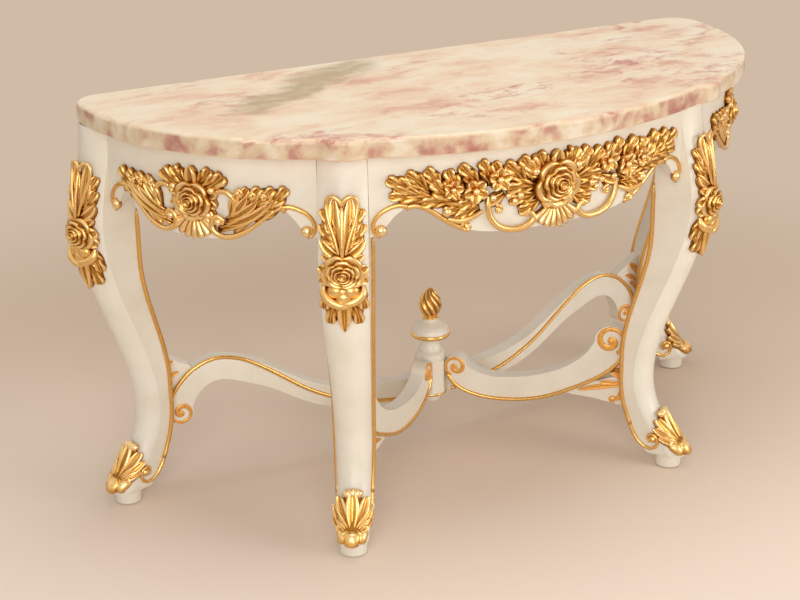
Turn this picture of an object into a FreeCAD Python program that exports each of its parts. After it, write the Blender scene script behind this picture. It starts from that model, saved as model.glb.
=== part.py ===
import FreeCAD, Part
import math
import os

import Sketcher
from FreeCAD import Placement, Rotation, Vector

# Pier table: a marble slab on a carved, painted and gilt frame with four cabriole legs.
# Millimetres. +X is to the right seen from the front, +Y is to the wall, +Z is up.
# The origin is on the floor, under the middle of the slab.

doc = FreeCAD.newDocument("pier_table")
sheet = doc.addObject("Spreadsheet::Sheet", "Sizes")

DIMENSIONS = (
    # Whole table and marble slab
    ("table_height", "820"),
    ("top_width", "1400"),
    ("top_depth", "610"),
    ("top_thickness", "36"),
    ("top_corner_radius", "55"),
    ("top_reach", "46"),
    ("ear_radius", "62"),
    ("ear_blend", "28"),
    ("top_upper_round", "8"),
    ("top_lower_round", "4"),
    ("pad_thickness", "2"),
    ("pad_diameter", "20"),
    # Where the legs stand
    ("front_leg_spacing", "730"),
    ("front_leg_setback", "138"),
    ("front_leg_angle", "30"),
    ("rear_leg_inset", "28"),
    ("rear_leg_setback", "70"),
    ("rear_leg_angle", "70"),
    # Cabriole leg
    ("leg_width", "88"),
    ("leg_back", "40"),
    ("leg_front", "26"),
    ("leg_round", "18"),
    ("block_depth", "165"),
    ("head_planing", "0.3"),
    ("knee_drop", "197"),
    ("knee_reach", "58"),
    ("hock_drop", "262"),
    ("shank_height", "240"),
    ("shank_back", "97"),
    ("ankle_height", "190"),
    ("ankle_front", "44"),
    ("ankle_width", "69"),
    ("ankle_round", "26"),
    ("toe_height", "38"),
    ("toe_reach", "38"),
    ("sole_height", "28"),
    ("sole_back", "34"),
    ("sole_width", "58"),
    ("foot_diameter", "52"),
    ("foot_height", "34"),
    ("glide_diameter", "34"),
    ("glide_height", "3"),
    # Aprons, rear rail and bearers
    ("rail_thickness", "26"),
    ("rail_seat", "12"),
    ("front_overhang", "24"),
    ("side_overhang", "34"),
    ("ear_depth", "142"),
    ("ear_width", "30"),
    ("arch_depth", "95"),
    ("front_arch_offset", "68"),
    ("side_arch_offset", "58"),
    ("arch_run", "64"),
    ("apron_depth", "158"),
    ("saw_allowance", "10"),
    ("rear_rail_depth", "92"),
    ("rear_rail_thickness", "22"),
    ("rear_rail_setback", "18"),
    ("bearer_offset", "190"),
    ("bearer_width", "60"),
    ("bearer_thickness", "22"),
    # Joints
    ("joint_gap", "0.2"),
    ("tenon_length", "22"),
    ("tenon_thickness", "12"),
    ("tenon_height", "56"),
    ("tenon_drop", "16"),
    ("tenon_root", "12"),
    ("peg_diameter", "6"),
    ("peg_spacing", "30"),
    ("dowel_diameter", "10"),
    ("dowel_length", "40"),
    ("bracket_dowel_length", "60"),
    # Stretcher
    ("arm_thickness", "30"),
    ("post_setback", "112"),
    ("post_width", "66"),
    ("post_bottom", "110"),
    ("post_top", "184"),
    ("drop_height", "30"),
    ("shoulder_height", "18"),
    ("urn_height", "74"),
    ("urn_ring_diameter", "80"),
    ("urn_neck_diameter", "40"),
    ("spigot_diameter", "14"),
    ("spigot_length", "16"),
    ("flame_height", "66"),
    ("flame_diameter", "50"),
    ("scroll_in_radius", "24"),
    ("scroll_out_radius", "33"),
    ("scroll_under_radius", "25"),
    ("front_scroll_in_height", "172"),
    ("front_scroll_out_height", "258"),
    ("rear_scroll_height", "157"),
    ("rear_arm_seat", "126"),
    ("rear_arm_dowel_height", "190"),
    ("dowel_set_back", "6"),
    ("scroll_clearance", "4"),
    ("rear_scroll_gap", "14"),
    ("leaf_thickness", "22"),
    # Gilt carvings
    ("knee_carving_drop", "64"),
    ("knee_carving_length", "244"),
    ("knee_carving_width", "80"),
    ("carving_relief", "12"),
    ("rose_diameter", "44"),
    ("rose_relief", "16"),
    ("foot_carving_height", "112"),
    ("foot_carving_relief", "6"),
    ("apron_rose_diameter", "84"),
    ("apron_rose_relief", "20"),
    ("front_rose_drop", "92"),
    ("side_rose_drop", "94"),
)
for row, (alias, number) in enumerate(DIMENSIONS, start=1):
    sheet.set("A%d" % row, alias)
    sheet.set("B%d" % row, number)
    sheet.setAlias("B%d" % row, alias)
doc.recompute()


def size(alias):
    return float(sheet.get(alias))


def bind(obj, **expressions):
    for name, expression in expressions.items():
        obj.setExpression(name, expression)


pieces = []


def piece(obj, label):
    obj.Label = label
    pieces.append(obj)
    return obj


def feature(label, shape):
    obj = doc.addObject("Part::Feature", label)
    obj.Shape = shape
    return piece(obj, label)


def mirrored(source, label):
    twin = doc.addObject("Part::Mirroring", label)
    twin.Source = source
    twin.Normal = Vector(1, 0, 0)
    return piece(twin, label)


# Heights and lines that several pieces share.
slab_bottom = size("table_height") - size("top_thickness")
frame_top = slab_bottom - size("pad_thickness")
wall = size("top_depth") / 2
gap = size("joint_gap")
half_leg = size("leg_width") / 2


def leg_frame(x, y, angle):
    # Leg frame: +X points outward along the knee, turned by angle from the front direction.
    return Placement(Vector(x, y, 0), Rotation(Vector(0, 0, 1), angle - 90))


front_leg = leg_frame(size("front_leg_spacing") / 2, size("front_leg_setback") - wall, size("front_leg_angle"))
rear_leg = leg_frame(size("top_width") / 2 - size("rear_leg_inset"), wall - size("rear_leg_setback"),
                     size("rear_leg_angle"))


def circle_centre(start, end, radius):
    # Centre of the arc that runs anticlockwise from start to end and bulges to its right.
    chord = end - start
    middle = (start + end) * 0.5
    inward = Vector(-chord.y, chord.x, 0).normalize()
    return middle + inward * math.sqrt(radius ** 2 - chord.Length ** 2 / 4)


def arc_edge(centre, radius, start, end):
    half_way = ((start - centre).normalize() + (end - centre).normalize()).normalize()
    return Part.Arc(start, centre + half_way * radius, end).toShape()


def extruded(edges, direction):
    return Part.Face(Part.Wire(edges)).extrude(direction)


def smooth_edge(points):
    curve = Part.BSplineCurve()
    curve.interpolate(points)
    return curve.toShape()


def line_edge(start, end):
    return Part.LineSegment(start, end).toShape()


# Marble slab. The two side curves and the front bow meet over each front leg, inside a round ear.
corner = size("top_corner_radius")
half_top = size("top_width") / 2
ear_meet = front_leg.multVec(Vector(size("top_reach"), 0, 0))
shoulder = Vector(half_top, wall - corner, 0)
side_run = ear_meet - shoulder
side_radius = -(side_run.x ** 2 + side_run.y ** 2) / (2 * side_run.x)
side_centre = shoulder - Vector(side_radius, 0, 0)
bow_rise = ear_meet.y + wall
front_radius = (ear_meet.x ** 2 + bow_rise ** 2) / (2 * bow_rise)
front_centre = Vector(0, front_radius - wall, 0)


def across(point):
    return Vector(-point.x, point.y, point.z)


def sketch_arc(centre, radius, start, end):
    circle = Part.Circle(centre, Vector(0, 0, 1), radius)
    first = math.atan2(start.y - centre.y, start.x - centre.x)
    last = math.atan2(end.y - centre.y, end.x - centre.x)
    return Part.ArcOfCircle(circle, first, last)


def plan_sketch(body, name, height):
    sketch = body.newObject("Sketcher::SketchObject", name)
    plane = [item for item in body.Origin.OriginFeatures if item.Role == "XY_Plane"][0]
    sketch.AttachmentSupport = [(plane, "")]
    sketch.MapMode = "FlatFace"
    sketch.AttachmentOffset = Placement(Vector(0, 0, height), Rotation())
    return sketch


def close_loop(sketch, count):
    for item in range(count):
        sketch.addConstraint(Sketcher.Constraint("Coincident", item, 2, (item + 1) % count, 1))


def vertical_edges(shape, test):
    names = []
    for number, edge in enumerate(shape.Edges, start=1):
        run = edge.lastVertex().Point - edge.firstVertex().Point
        if abs(run.z) > 0.9 * edge.Length and test(edge.CenterOfMass):
            names.append("Edge%d" % number)
    return names


def edges_at_height(shape, height):
    names = []
    for number, edge in enumerate(shape.Edges, start=1):
        box = edge.BoundBox
        if abs(box.ZMin - height) < 0.01 and abs(box.ZMax - height) < 0.01:
            names.append("Edge%d" % number)
    return names


top_body = doc.addObject("PartDesign::Body", "marble_top")
outline = plan_sketch(top_body, "slab_outline", slab_bottom)
back_end = Vector(half_top - corner, wall, 0)
corner_centre = back_end - Vector(0, corner, 0)
outline.addGeometry(Part.LineSegment(back_end, across(back_end)))
outline.addGeometry(sketch_arc(across(corner_centre), corner, across(back_end), across(shoulder)))
outline.addGeometry(sketch_arc(across(side_centre), side_radius, across(shoulder), across(ear_meet)))
outline.addGeometry(sketch_arc(front_centre, front_radius, across(ear_meet), ear_meet))
outline.addGeometry(sketch_arc(side_centre, side_radius, ear_meet, shoulder))
outline.addGeometry(sketch_arc(corner_centre, corner, shoulder, back_end))
close_loop(outline, 6)
for arc in (1, 5):
    radius_row = outline.addConstraint(Sketcher.Constraint("Radius", arc, corner))
    outline.setExpression("Constraints[%d]" % radius_row, "Sizes.top_corner_radius")
slab = top_body.newObject("PartDesign::Pad", "slab")
slab.Profile = outline
bind(slab, Length="Sizes.top_thickness")
ears = plan_sketch(top_body, "ear_circles", slab_bottom)
for number, centre in enumerate((front_leg.Base, across(front_leg.Base))):
    ears.addGeometry(Part.Circle(centre, Vector(0, 0, 1), size("ear_radius")))
    radius_row = ears.addConstraint(Sketcher.Constraint("Radius", number, size("ear_radius")))
    ears.setExpression("Constraints[%d]" % radius_row, "Sizes.ear_radius")
ear_pad = top_body.newObject("PartDesign::Pad", "ears")
ear_pad.Profile = ears
bind(ear_pad, Length="Sizes.top_thickness")
doc.recompute()


def beside_ear(point):
    flat = Vector(abs(point.x), point.y, 0)
    return (flat - front_leg.Base).Length < size("ear_radius") + 1


ear_fillet = top_body.newObject("PartDesign::Fillet", "ear_blends")
ear_fillet.Base = (ear_pad, vertical_edges(ear_pad.Shape, beside_ear))
bind(ear_fillet, Radius="Sizes.ear_blend")
doc.recompute()
upper_fillet = top_body.newObject("PartDesign::Fillet", "upper_edge")
upper_fillet.Base = (ear_fillet, edges_at_height(ear_fillet.Shape, size("table_height")))
bind(upper_fillet, Radius="Sizes.top_upper_round")
doc.recompute()
lower_fillet = top_body.newObject("PartDesign::Fillet", "lower_edge")
lower_fillet.Base = (upper_fillet, edges_at_height(upper_fillet.Shape, slab_bottom))
bind(lower_fillet, Radius="Sizes.top_lower_round")
piece(top_body, "marble_top")


# Cabriole leg. Each level is a D: flat back, flat cheeks and a rounded front.
def ease(value):
    value = min(max(value, 0), 1)
    return value * value * (3 - 2 * value)


def between(first, last, share):
    return first + (last - first) * share


block_bottom = frame_top - size("block_depth")
knee_height = frame_top - size("knee_drop")
hock_height = frame_top - size("hock_drop")
BACK_SWEEP = 2.2
TOE_SWEEP = 2.0


def leg_back_at(level):
    if level > size("shank_height"):
        share = (hock_height - level) / (hock_height - size("shank_height"))
        return -between(size("leg_back"), size("shank_back"), ease(share))
    run = size("ankle_height") - size("sole_height")
    share = max(size("ankle_height") - level, 0) / run
    return -between(size("shank_back"), size("sole_back"), share ** BACK_SWEEP)


def leg_front_at(level):
    if level > knee_height:
        share = (frame_top - level) / size("knee_drop")
        return between(size("leg_front"), size("knee_reach"), ease(share))
    if level > size("ankle_height"):
        share = (knee_height - level) / (knee_height - size("ankle_height"))
        return between(size("knee_reach"), -size("ankle_front"), ease(share))
    share = (size("ankle_height") - level) / (size("ankle_height") - size("toe_height"))
    return between(-size("ankle_front"), size("toe_reach"), min(share, 1) ** TOE_SWEEP)


def leg_width_at(level):
    if level > block_bottom:
        return size("leg_width")
    if level > size("ankle_height"):
        share = (block_bottom - level) / (block_bottom - size("ankle_height"))
        return between(size("leg_width"), size("ankle_width"), ease(share))
    share = (size("ankle_height") - level) / (size("ankle_height") - size("sole_height"))
    return between(size("ankle_width"), size("sole_width"), share)


def leg_round_at(level):
    share = (frame_top - level) / (frame_top - size("ankle_height"))
    return between(size("leg_round"), size("ankle_round"), ease(share))


def d_section(back, side, front, half_width, level):
    corners = [Vector(back, -half_width, level), Vector(side, -half_width, level),
               Vector(side, half_width, level), Vector(back, half_width, level)]
    return Part.Wire([line_edge(corners[0], corners[1]),
                      Part.Arc(corners[1], Vector(front, 0, level), corners[2]).toShape(),
                      line_edge(corners[2], corners[3]),
                      line_edge(corners[3], corners[0])])


def leg_section(level):
    front = leg_front_at(level)
    return d_section(leg_back_at(level), front - leg_round_at(level), front, leg_width_at(level) / 2, level)


def levels(first, last, count):
    return [between(first, last, step / count) for step in range(count)]


leg_levels = (levels(frame_top, block_bottom, 4) + levels(block_bottom, hock_height, 4)
              + levels(hock_height, size("ankle_height"), 14)
              + levels(size("ankle_height"), size("sole_height"), 7) + [size("sole_height")])
leg_shaft = Part.makeLoft([leg_section(level) for level in leg_levels], True)
foot_block = Part.makeCylinder(size("foot_diameter") / 2, size("foot_height") - size("glide_height"),
                               Vector(0, 0, size("glide_height")))


def box_between(low, high):
    run = high - low
    return Part.makeBox(run.x, run.y, run.z, low)


# The head is planed flat where the aprons and the rear rail butt against it.
planed_cheek = half_leg - size("head_planing")
planed_back = -size("leg_back") + size("head_planing")
waste = size("leg_width")
cheek_waste = [box_between(Vector(-waste, planed_cheek, block_bottom), Vector(waste, waste, frame_top)),
               box_between(Vector(-waste, -waste, block_bottom), Vector(waste, -planed_cheek, frame_top))]
back_waste = box_between(Vector(-waste * 2, -waste, block_bottom), Vector(planed_back, waste, frame_top))
leg_blank = leg_shaft.cut(cheek_waste + [back_waste]).fuse(foot_block)


def placed(shape, frame):
    copy = shape.copy()
    copy.Placement = frame.multiply(copy.Placement)
    return copy


tenon_top = frame_top - size("tenon_drop")
tenon_bottom = tenon_top - size("tenon_height")
peg_heights = [(tenon_top + tenon_bottom) / 2 + side * size("peg_spacing") / 2 for side in (-1, 1)]


def tenon_box(lengthwise, thicknesswise, along_x, slack):
    # A tenon between two stations along its run, centred on its thickness, in a leg frame.
    low_run, high_run = lengthwise
    half = size("tenon_thickness") / 2 + slack
    if along_x:
        low = Vector(low_run - slack, thicknesswise - half, tenon_bottom - slack)
        high = Vector(high_run + slack, thicknesswise + half, tenon_top + slack)
    else:
        low = Vector(thicknesswise - half, low_run - slack, tenon_bottom - slack)
        high = Vector(thicknesswise + half, high_run + slack, tenon_top + slack)
    return box_between(low, high)


# Tenons enter the two cheeks of a front leg, and one cheek and the back of a rear leg.
rail_middle = size("rail_seat") - size("rail_thickness") / 2
left_cheek = (-half_leg - size("tenon_root"), -half_leg + size("tenon_length"))
right_cheek = (half_leg - size("tenon_length"), half_leg + size("tenon_root"))
rear_face = (-size("leg_back") - size("tenon_root"), -size("leg_back") + size("tenon_length"))
rear_turn = math.radians(90 - size("rear_leg_angle"))
rear_rail_middle = wall - size("rear_rail_setback") - size("rear_rail_thickness") / 2
rear_back_point = rear_leg.multVec(Vector(-size("leg_back"), 0, 0))
rear_tenon_place = (rear_rail_middle - rear_back_point.y) / math.cos(rear_turn)


def front_tenons(slack):
    return [tenon_box(left_cheek, rail_middle, False, slack), tenon_box(right_cheek, rail_middle, False, slack)]


def rear_tenons(slack):
    return [tenon_box(left_cheek, rail_middle, False, slack),
            tenon_box(rear_face, rear_tenon_place, True, slack)]


peg_radius = size("peg_diameter") / 2
peg_inset = half_leg - size("tenon_length") / 2
peg_run = size("leg_back") + size("rail_seat") - size("rail_thickness") / 2 + size("tenon_thickness")


def cheek_pegs(side, radius):
    return [Part.makeCylinder(radius, peg_run, Vector(-size("leg_back"), side * peg_inset, level), Vector(1, 0, 0))
            for level in peg_heights]


def rear_face_pegs(radius):
    start = -size("leg_back") + size("tenon_length") / 2
    run = half_leg - rear_tenon_place + size("tenon_thickness")
    return [Part.makeCylinder(radius, run, Vector(start, half_leg, level), Vector(0, -1, 0))
            for level in peg_heights]


front_pegs = cheek_pegs(-1, peg_radius) + cheek_pegs(1, peg_radius)
rear_pegs = cheek_pegs(-1, peg_radius) + rear_face_pegs(peg_radius)


# Stretcher arms stand in upright planes that run from the post to the back of each leg.
post = Vector(0, wall - size("post_setback"), 0)
front_seat = front_leg.multVec(Vector(-size("shank_back"), 0, 0))
rear_seat = rear_leg.multVec(Vector(-size("shank_back"), 0, 0))


def arm_frame(seat):
    # Arm frame: +X runs from the post to the leg, +Y is up and +Z is across the arm.
    run = seat - post
    turn = Rotation(Vector(0, 0, 1), math.degrees(math.atan2(run.y, run.x)))
    return Placement(post, turn.multiply(Rotation(Vector(1, 0, 0), 90)))


front_arm = arm_frame(front_seat)
rear_arm = arm_frame(rear_seat)
front_span = (front_seat - post).Length
rear_span = (rear_seat - post).Length
half_arm = size("arm_thickness") / 2
dowel_radius = size("dowel_diameter") / 2
post_apothem = size("post_width") / 2


def arm_dowel(reach, level, length, radius):
    return Part.makeCylinder(radius, length, Vector(reach - length / 2, level, 0), Vector(1, 0, 0))


front_dowel_places = ((post_apothem, size("front_scroll_in_height"), size("dowel_length")),
                      (front_span - size("dowel_set_back"), size("front_scroll_out_height"), size("dowel_length")))
rear_dowel_places = ((post_apothem, size("rear_arm_seat"), size("dowel_length")),
                     (rear_span - size("rear_scroll_gap") / 2, size("rear_arm_dowel_height"),
                      size("bracket_dowel_length")))


def arm_dowels(frame, places, radius):
    return [placed(arm_dowel(reach, level, length, radius), frame) for reach, level, length in places]


front_dowels = arm_dowels(front_arm, front_dowel_places, dowel_radius)
rear_dowels = arm_dowels(rear_arm, rear_dowel_places, dowel_radius)


def finished_leg(label, frame, mortises, pegs, dowels):
    shape = placed(leg_blank.cut(mortises).cut(pegs), frame)
    return feature(label, shape.cut(dowels))


leg_front_right = finished_leg("leg_front_right", front_leg, front_tenons(gap), front_pegs, front_dowels)
leg_rear_right = finished_leg("leg_rear_right", rear_leg, rear_tenons(gap), rear_pegs, rear_dowels)
mirrored(leg_front_right, "leg_front_left")
mirrored(leg_rear_right, "leg_rear_left")


# Aprons: curved bands between the leg cheeks, sawn to a shaped lower edge.
def line_circle(point, direction, centre, radius):
    # Where a line through point, run backward along direction, first meets a circle.
    offset = point - centre
    half_b = offset.dot(direction)
    root = math.sqrt(half_b ** 2 - offset.dot(offset) + radius ** 2)
    return point + direction * (root - half_b)


def band_ends(frame, side, centre, radius):
    outward = frame.Rotation.multVec(Vector(1, 0, 0))
    cheek = frame.multVec(Vector(0, side * (half_leg + gap), 0))
    return [line_circle(cheek, outward, centre, reach) for reach in (radius, radius - size("rail_thickness"))]


def curved_band(centre, radius, start_pair, end_pair, low, high):
    edges = [arc_edge(centre, radius, start_pair[0], end_pair[0]),
             line_edge(end_pair[0], end_pair[1]),
             arc_edge(centre, radius - size("rail_thickness"), end_pair[1], start_pair[1]),
             line_edge(start_pair[1], start_pair[0])]
    band = extruded(edges, Vector(0, 0, high - low))
    band.translate(Vector(0, 0, low))
    return band


EAR_EDGE = ((1.25, 0.55), (0.55, 0.0), (-1.0, 0.09))
SWELL_EDGE = ((0.0, 0.0), (0.55, 0.03), (1.0, 0.45))


def apron_edge(half_length, arch_offset):
    # Half of the lower edge: a long swell from the middle, an arch, and an ear beside the leg.
    arch = frame_top - size("arch_depth")
    ear = frame_top - size("ear_depth")
    swell = frame_top - size("apron_depth")
    swell_end = half_length - arch_offset - size("arch_run")
    points = [Vector(swell_end * share, 0, between(swell, arch, rise)) for share, rise in SWELL_EDGE]
    points.append(Vector(half_length - arch_offset, 0, arch))
    points += [Vector(half_length - size("ear_width") * share, 0, between(ear, arch, rise))
               for share, rise in EAR_EDGE]
    return points


def sawn_edge(band, half_length, arch_offset, frame):
    # Cuts away everything under the lower edge, square to the frame's X and Z axes.
    right = apron_edge(half_length, arch_offset)
    left = [across(point) for point in reversed(right[1:])]
    points = left + right
    deep = frame_top - size("apron_depth") - size("rail_thickness") * 2
    low_right = Vector(points[-1].x, 0, deep)
    low_left = Vector(points[0].x, 0, deep)
    edges = [smooth_edge(points), line_edge(points[-1], low_right), line_edge(low_right, low_left),
             line_edge(low_left, points[0])]
    depth = size("top_depth")
    waste = extruded(edges, Vector(0, depth, 0))
    waste.translate(Vector(0, -depth / 2, 0))
    return band.cut(placed(waste, frame))


band_low = frame_top - size("apron_depth") - size("saw_allowance")
front_rail_radius = front_radius - size("front_overhang")
front_cheek = front_leg.multVec(Vector(size("rail_seat"), -half_leg - gap, 0))
front_rail_centre = circle_centre(across(front_cheek), front_cheek, front_rail_radius)
front_pair = band_ends(front_leg, -1, front_rail_centre, front_rail_radius)
front_pair_left = [across(point) for point in front_pair]
front_band = curved_band(front_rail_centre, front_rail_radius, front_pair_left, front_pair, band_low, frame_top)
front_rail_frame = Placement(Vector(0, front_rail_centre.y - front_rail_radius, 0), Rotation())
front_sawn = sawn_edge(front_band, front_pair[0].x, size("front_arch_offset"), front_rail_frame)
front_tenon = placed(tenon_box(left_cheek, rail_middle, False, 0), front_leg)


def flipped(shape):
    return shape.mirror(Vector(0, 0, 0), Vector(1, 0, 0))


front_holes = [placed(peg, front_leg) for peg in cheek_pegs(-1, peg_radius)]

side_rail_radius = side_radius - size("side_overhang")
side_start = front_leg.multVec(Vector(size("rail_seat"), half_leg + gap, 0))
side_end = rear_leg.multVec(Vector(size("rail_seat"), -half_leg - gap, 0))
side_rail_centre = circle_centre(side_start, side_end, side_rail_radius)
side_pair_front = band_ends(front_leg, 1, side_rail_centre, side_rail_radius)
side_pair_rear = band_ends(rear_leg, -1, side_rail_centre, side_rail_radius)
side_band = curved_band(side_rail_centre, side_rail_radius, side_pair_front, side_pair_rear, band_low, frame_top)
side_chord = side_pair_rear[0] - side_pair_front[0]
side_middle = (side_pair_rear[0] + side_pair_front[0]) * 0.5
side_frame = Placement(side_middle, Rotation(Vector(0, 0, 1), math.degrees(math.atan2(side_chord.y, side_chord.x))))
side_sawn = sawn_edge(side_band, side_chord.Length / 2, size("side_arch_offset"), side_frame)
side_tenons = [placed(tenon_box(right_cheek, rail_middle, False, 0), front_leg),
               placed(tenon_box(left_cheek, rail_middle, False, 0), rear_leg)]
side_holes = ([placed(peg, front_leg) for peg in cheek_pegs(1, peg_radius)]
              + [placed(peg, rear_leg) for peg in cheek_pegs(-1, peg_radius)])
apron_right = feature("apron_right", side_sawn.fuse(side_tenons).cut(side_holes))
mirrored(apron_right, "apron_left")

# Rear rail: a straight board against the wall side, tenoned into the backs of the rear legs.
rear_front = wall - size("rear_rail_setback") - size("rear_rail_thickness")
rear_back = wall - size("rear_rail_setback")


def rear_rail_end(depth):
    # Where the board meets the back face of the rear leg, at a given depth from the middle.
    normal = rear_leg.Rotation.multVec(Vector(1, 0, 0))
    face = rear_leg.multVec(Vector(-size("leg_back") - gap, 0, 0))
    return Vector(face.x - (depth - face.y) * normal.y / normal.x, depth, 0)


rear_body = doc.addObject("PartDesign::Body", "rear_board")
rear_sketch = plan_sketch(rear_body, "rear_board_plan", frame_top - size("rear_rail_depth"))
rear_corners = [rear_rail_end(rear_front), rear_rail_end(rear_back)]
rear_corners += [across(point) for point in reversed(rear_corners)]
for number in range(4):
    rear_sketch.addGeometry(Part.LineSegment(rear_corners[number], rear_corners[(number + 1) % 4]))
close_loop(rear_sketch, 4)
rear_pad = rear_body.newObject("PartDesign::Pad", "rear_board_pad")
rear_pad.Profile = rear_sketch
bind(rear_pad, Length="Sizes.rear_rail_depth")
doc.recompute()
rear_tenon = placed(tenon_box(rear_face, rear_tenon_place, True, 0), rear_leg)
rear_holes = [placed(peg, rear_leg) for peg in rear_face_pegs(peg_radius)]


# Bearers under the slab, from the front apron to the rear rail, on dowels.
front_inner_radius = front_rail_radius - size("rail_thickness")


def inner_face(reach):
    return front_rail_centre.y - math.sqrt(front_inner_radius ** 2 - reach ** 2)


bearer_level = frame_top - size("bearer_thickness") / 2
bearer_inner = size("bearer_offset") - size("bearer_width") / 2
bearer_outer = size("bearer_offset") + size("bearer_width") / 2
bearer_dowel_places = []
for reach in (between(bearer_inner, bearer_outer, 0.25), between(bearer_inner, bearer_outer, 0.75)):
    bearer_dowel_places.append(Vector(reach, inner_face(reach), bearer_level))
    bearer_dowel_places.append(Vector(reach, rear_front, bearer_level))


def bearer_dowels(radius):
    # Half of each dowel is in the bearer; the board it enters holds the rest.
    held = min(size("rail_thickness"), size("rear_rail_thickness")) * 0.6
    return [Part.makeCylinder(radius, held * 2, place - Vector(0, held, 0), Vector(0, 1, 0))
            for place in bearer_dowel_places]


right_bearer_dowels = bearer_dowels(dowel_radius)
left_bearer_dowels = [flipped(dowel) for dowel in right_bearer_dowels]
all_bearer_dowels = right_bearer_dowels + left_bearer_dowels
bearer_body = doc.addObject("PartDesign::Body", "bearer_board")
bearer_sketch = plan_sketch(bearer_body, "bearer_plan", frame_top - size("bearer_thickness"))
bearer_corners = [Vector(bearer_inner, inner_face(bearer_inner) + gap, 0),
                  Vector(bearer_outer, inner_face(bearer_outer) + gap, 0),
                  Vector(bearer_outer, rear_front - gap, 0), Vector(bearer_inner, rear_front - gap, 0)]
for number in range(4):
    bearer_sketch.addGeometry(Part.LineSegment(bearer_corners[number], bearer_corners[(number + 1) % 4]))
close_loop(bearer_sketch, 4)
bearer_pad = bearer_body.newObject("PartDesign::Pad", "bearer_pad")
bearer_pad.Profile = bearer_sketch
bind(bearer_pad, Length="Sizes.bearer_thickness")
doc.recompute()
bearer_right = feature("bearer_right", bearer_body.Shape.cut(right_bearer_dowels))
mirrored(bearer_right, "bearer_left")
feature("bearer_dowels", Part.makeCompound(all_bearer_dowels))

front_apron_shape = front_sawn.fuse([front_tenon, flipped(front_tenon)])
front_apron_shape = front_apron_shape.cut(front_holes + [flipped(hole) for hole in front_holes])
feature("apron_front", front_apron_shape.cut(all_bearer_dowels))
rear_rail_shape = rear_body.Shape.fuse([rear_tenon, flipped(rear_tenon)])
rear_rail_shape = rear_rail_shape.cut(rear_holes + [flipped(hole) for hole in rear_holes])
feature("rear_rail", rear_rail_shape.cut(all_bearer_dowels))

right_pegs = [placed(peg, front_leg) for peg in front_pegs] + [placed(peg, rear_leg) for peg in rear_pegs]
feature("tenon_pegs", Part.makeCompound(right_pegs + [flipped(peg) for peg in right_pegs]))


# Centre post: a turned drop, an eight-sided block that takes the arms, and a turned shoulder.
def turned(profile, base):
    # Turns a half profile of (radius, height) points about the post's axis.
    points = [Vector(radius, 0, level) for radius, level in profile]
    edges = [line_edge(first, last) for first, last in zip(points, points[1:] + points[:1])]
    shape = Part.Face(Part.Wire(edges)).revolve(Vector(0, 0, 0), Vector(0, 0, 1), 360)
    shape.translate(base)
    return shape


post_radius = post_apothem / math.cos(math.pi / 8)
block_corners = [Vector(post_radius * math.cos(math.pi * (2 * side + 1) / 8),
                        post_radius * math.sin(math.pi * (2 * side + 1) / 8), size("post_bottom"))
                 for side in range(8)]
block_edges = [line_edge(first, last) for first, last in zip(block_corners, block_corners[1:] + block_corners[:1])]
post_block = extruded(block_edges, Vector(0, 0, size("post_top") - size("post_bottom")))
post_block.translate(post)
DROP_PROFILE = ((0.3, 0.07), (0.62, 0.3), (0.78, 0.67), (0.98, 0.77))
SHOULDER_PROFILE = ((1.0, 0.22), (0.92, 0.78), (0.72, 1.0))
OVERLAP = 1.0
drop_foot = size("post_bottom") - size("drop_height")
drop_top = size("post_bottom") + OVERLAP
drop_points = [(post_apothem * share, drop_foot + size("drop_height") * rise) for share, rise in DROP_PROFILE]
drop = turned([(0, drop_foot)] + drop_points + [(drop_points[-1][0], drop_top), (0, drop_top)], post)
shoulder_foot = size("post_top") - OVERLAP
urn_bottom = size("post_top") + size("shoulder_height")
shoulder_points = [(post_apothem * share, size("post_top") + size("shoulder_height") * rise)
                   for share, rise in SHOULDER_PROFILE]
post_shoulder = turned([(0, shoulder_foot), (post_apothem, shoulder_foot)] + shoulder_points
                       + [(0, urn_bottom)], post)
spigot_radius = size("spigot_diameter") / 2


def spigot(base, radius):
    return Part.makeCylinder(radius, size("spigot_length"), base)


urn_spigot_base = post + Vector(0, 0, urn_bottom - size("spigot_length"))
post_blank = post_block.fuse([drop, post_shoulder])
left_dowels = [flipped(dowel) for dowel in front_dowels + rear_dowels]
centre_post = post_blank.cut([spigot(urn_spigot_base, spigot_radius + gap)] + front_dowels + rear_dowels + left_dowels)
feature("centre_post", centre_post)

# Urn: a waisted neck, a wide ring and a low dome, turned with its own spigot.
NECK_PROFILE = ((1.12, 0.0), (1.0, 0.14), (1.04, 0.3))
RING_PROFILE = ((0.82, 0.46), (1.0, 0.53), (1.0, 0.62), (0.84, 0.69), (0.66, 0.82))
DOME_SHARE = 0.8
urn_top = urn_bottom + size("urn_height")
neck = size("urn_neck_diameter") / 2
ring = size("urn_ring_diameter") / 2
neck_points = [(neck * share, urn_bottom + size("urn_height") * rise) for share, rise in NECK_PROFILE]
ring_points = [(ring * share, urn_bottom + size("urn_height") * rise) for share, rise in RING_PROFILE]
urn_shape = turned([(0, urn_bottom)] + neck_points + ring_points + [(neck * DOME_SHARE, urn_top), (0, urn_top)], post)
flame_spigot_base = post + Vector(0, 0, urn_top - size("spigot_length"))
urn_shape = urn_shape.fuse(spigot(urn_spigot_base, spigot_radius))
feature("finial_urn", urn_shape.cut(spigot(flame_spigot_base, spigot_radius + gap)))

# Flame finial: a gilt bud with a pointed tip.
FLAME_PROFILE = ((0.62, 0.0), (0.95, 0.2), (1.0, 0.36), (0.72, 0.66), (0.3, 0.9))
flame_radius = size("flame_diameter") / 2
flame_points = [(flame_radius * share, urn_top + size("flame_height") * rise) for share, rise in FLAME_PROFILE]
flame = turned([(0, urn_top)] + flame_points + [(0, urn_top + size("flame_height"))], post)
feature("flame_finial", flame.fuse(spigot(flame_spigot_base, spigot_radius)))


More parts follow.
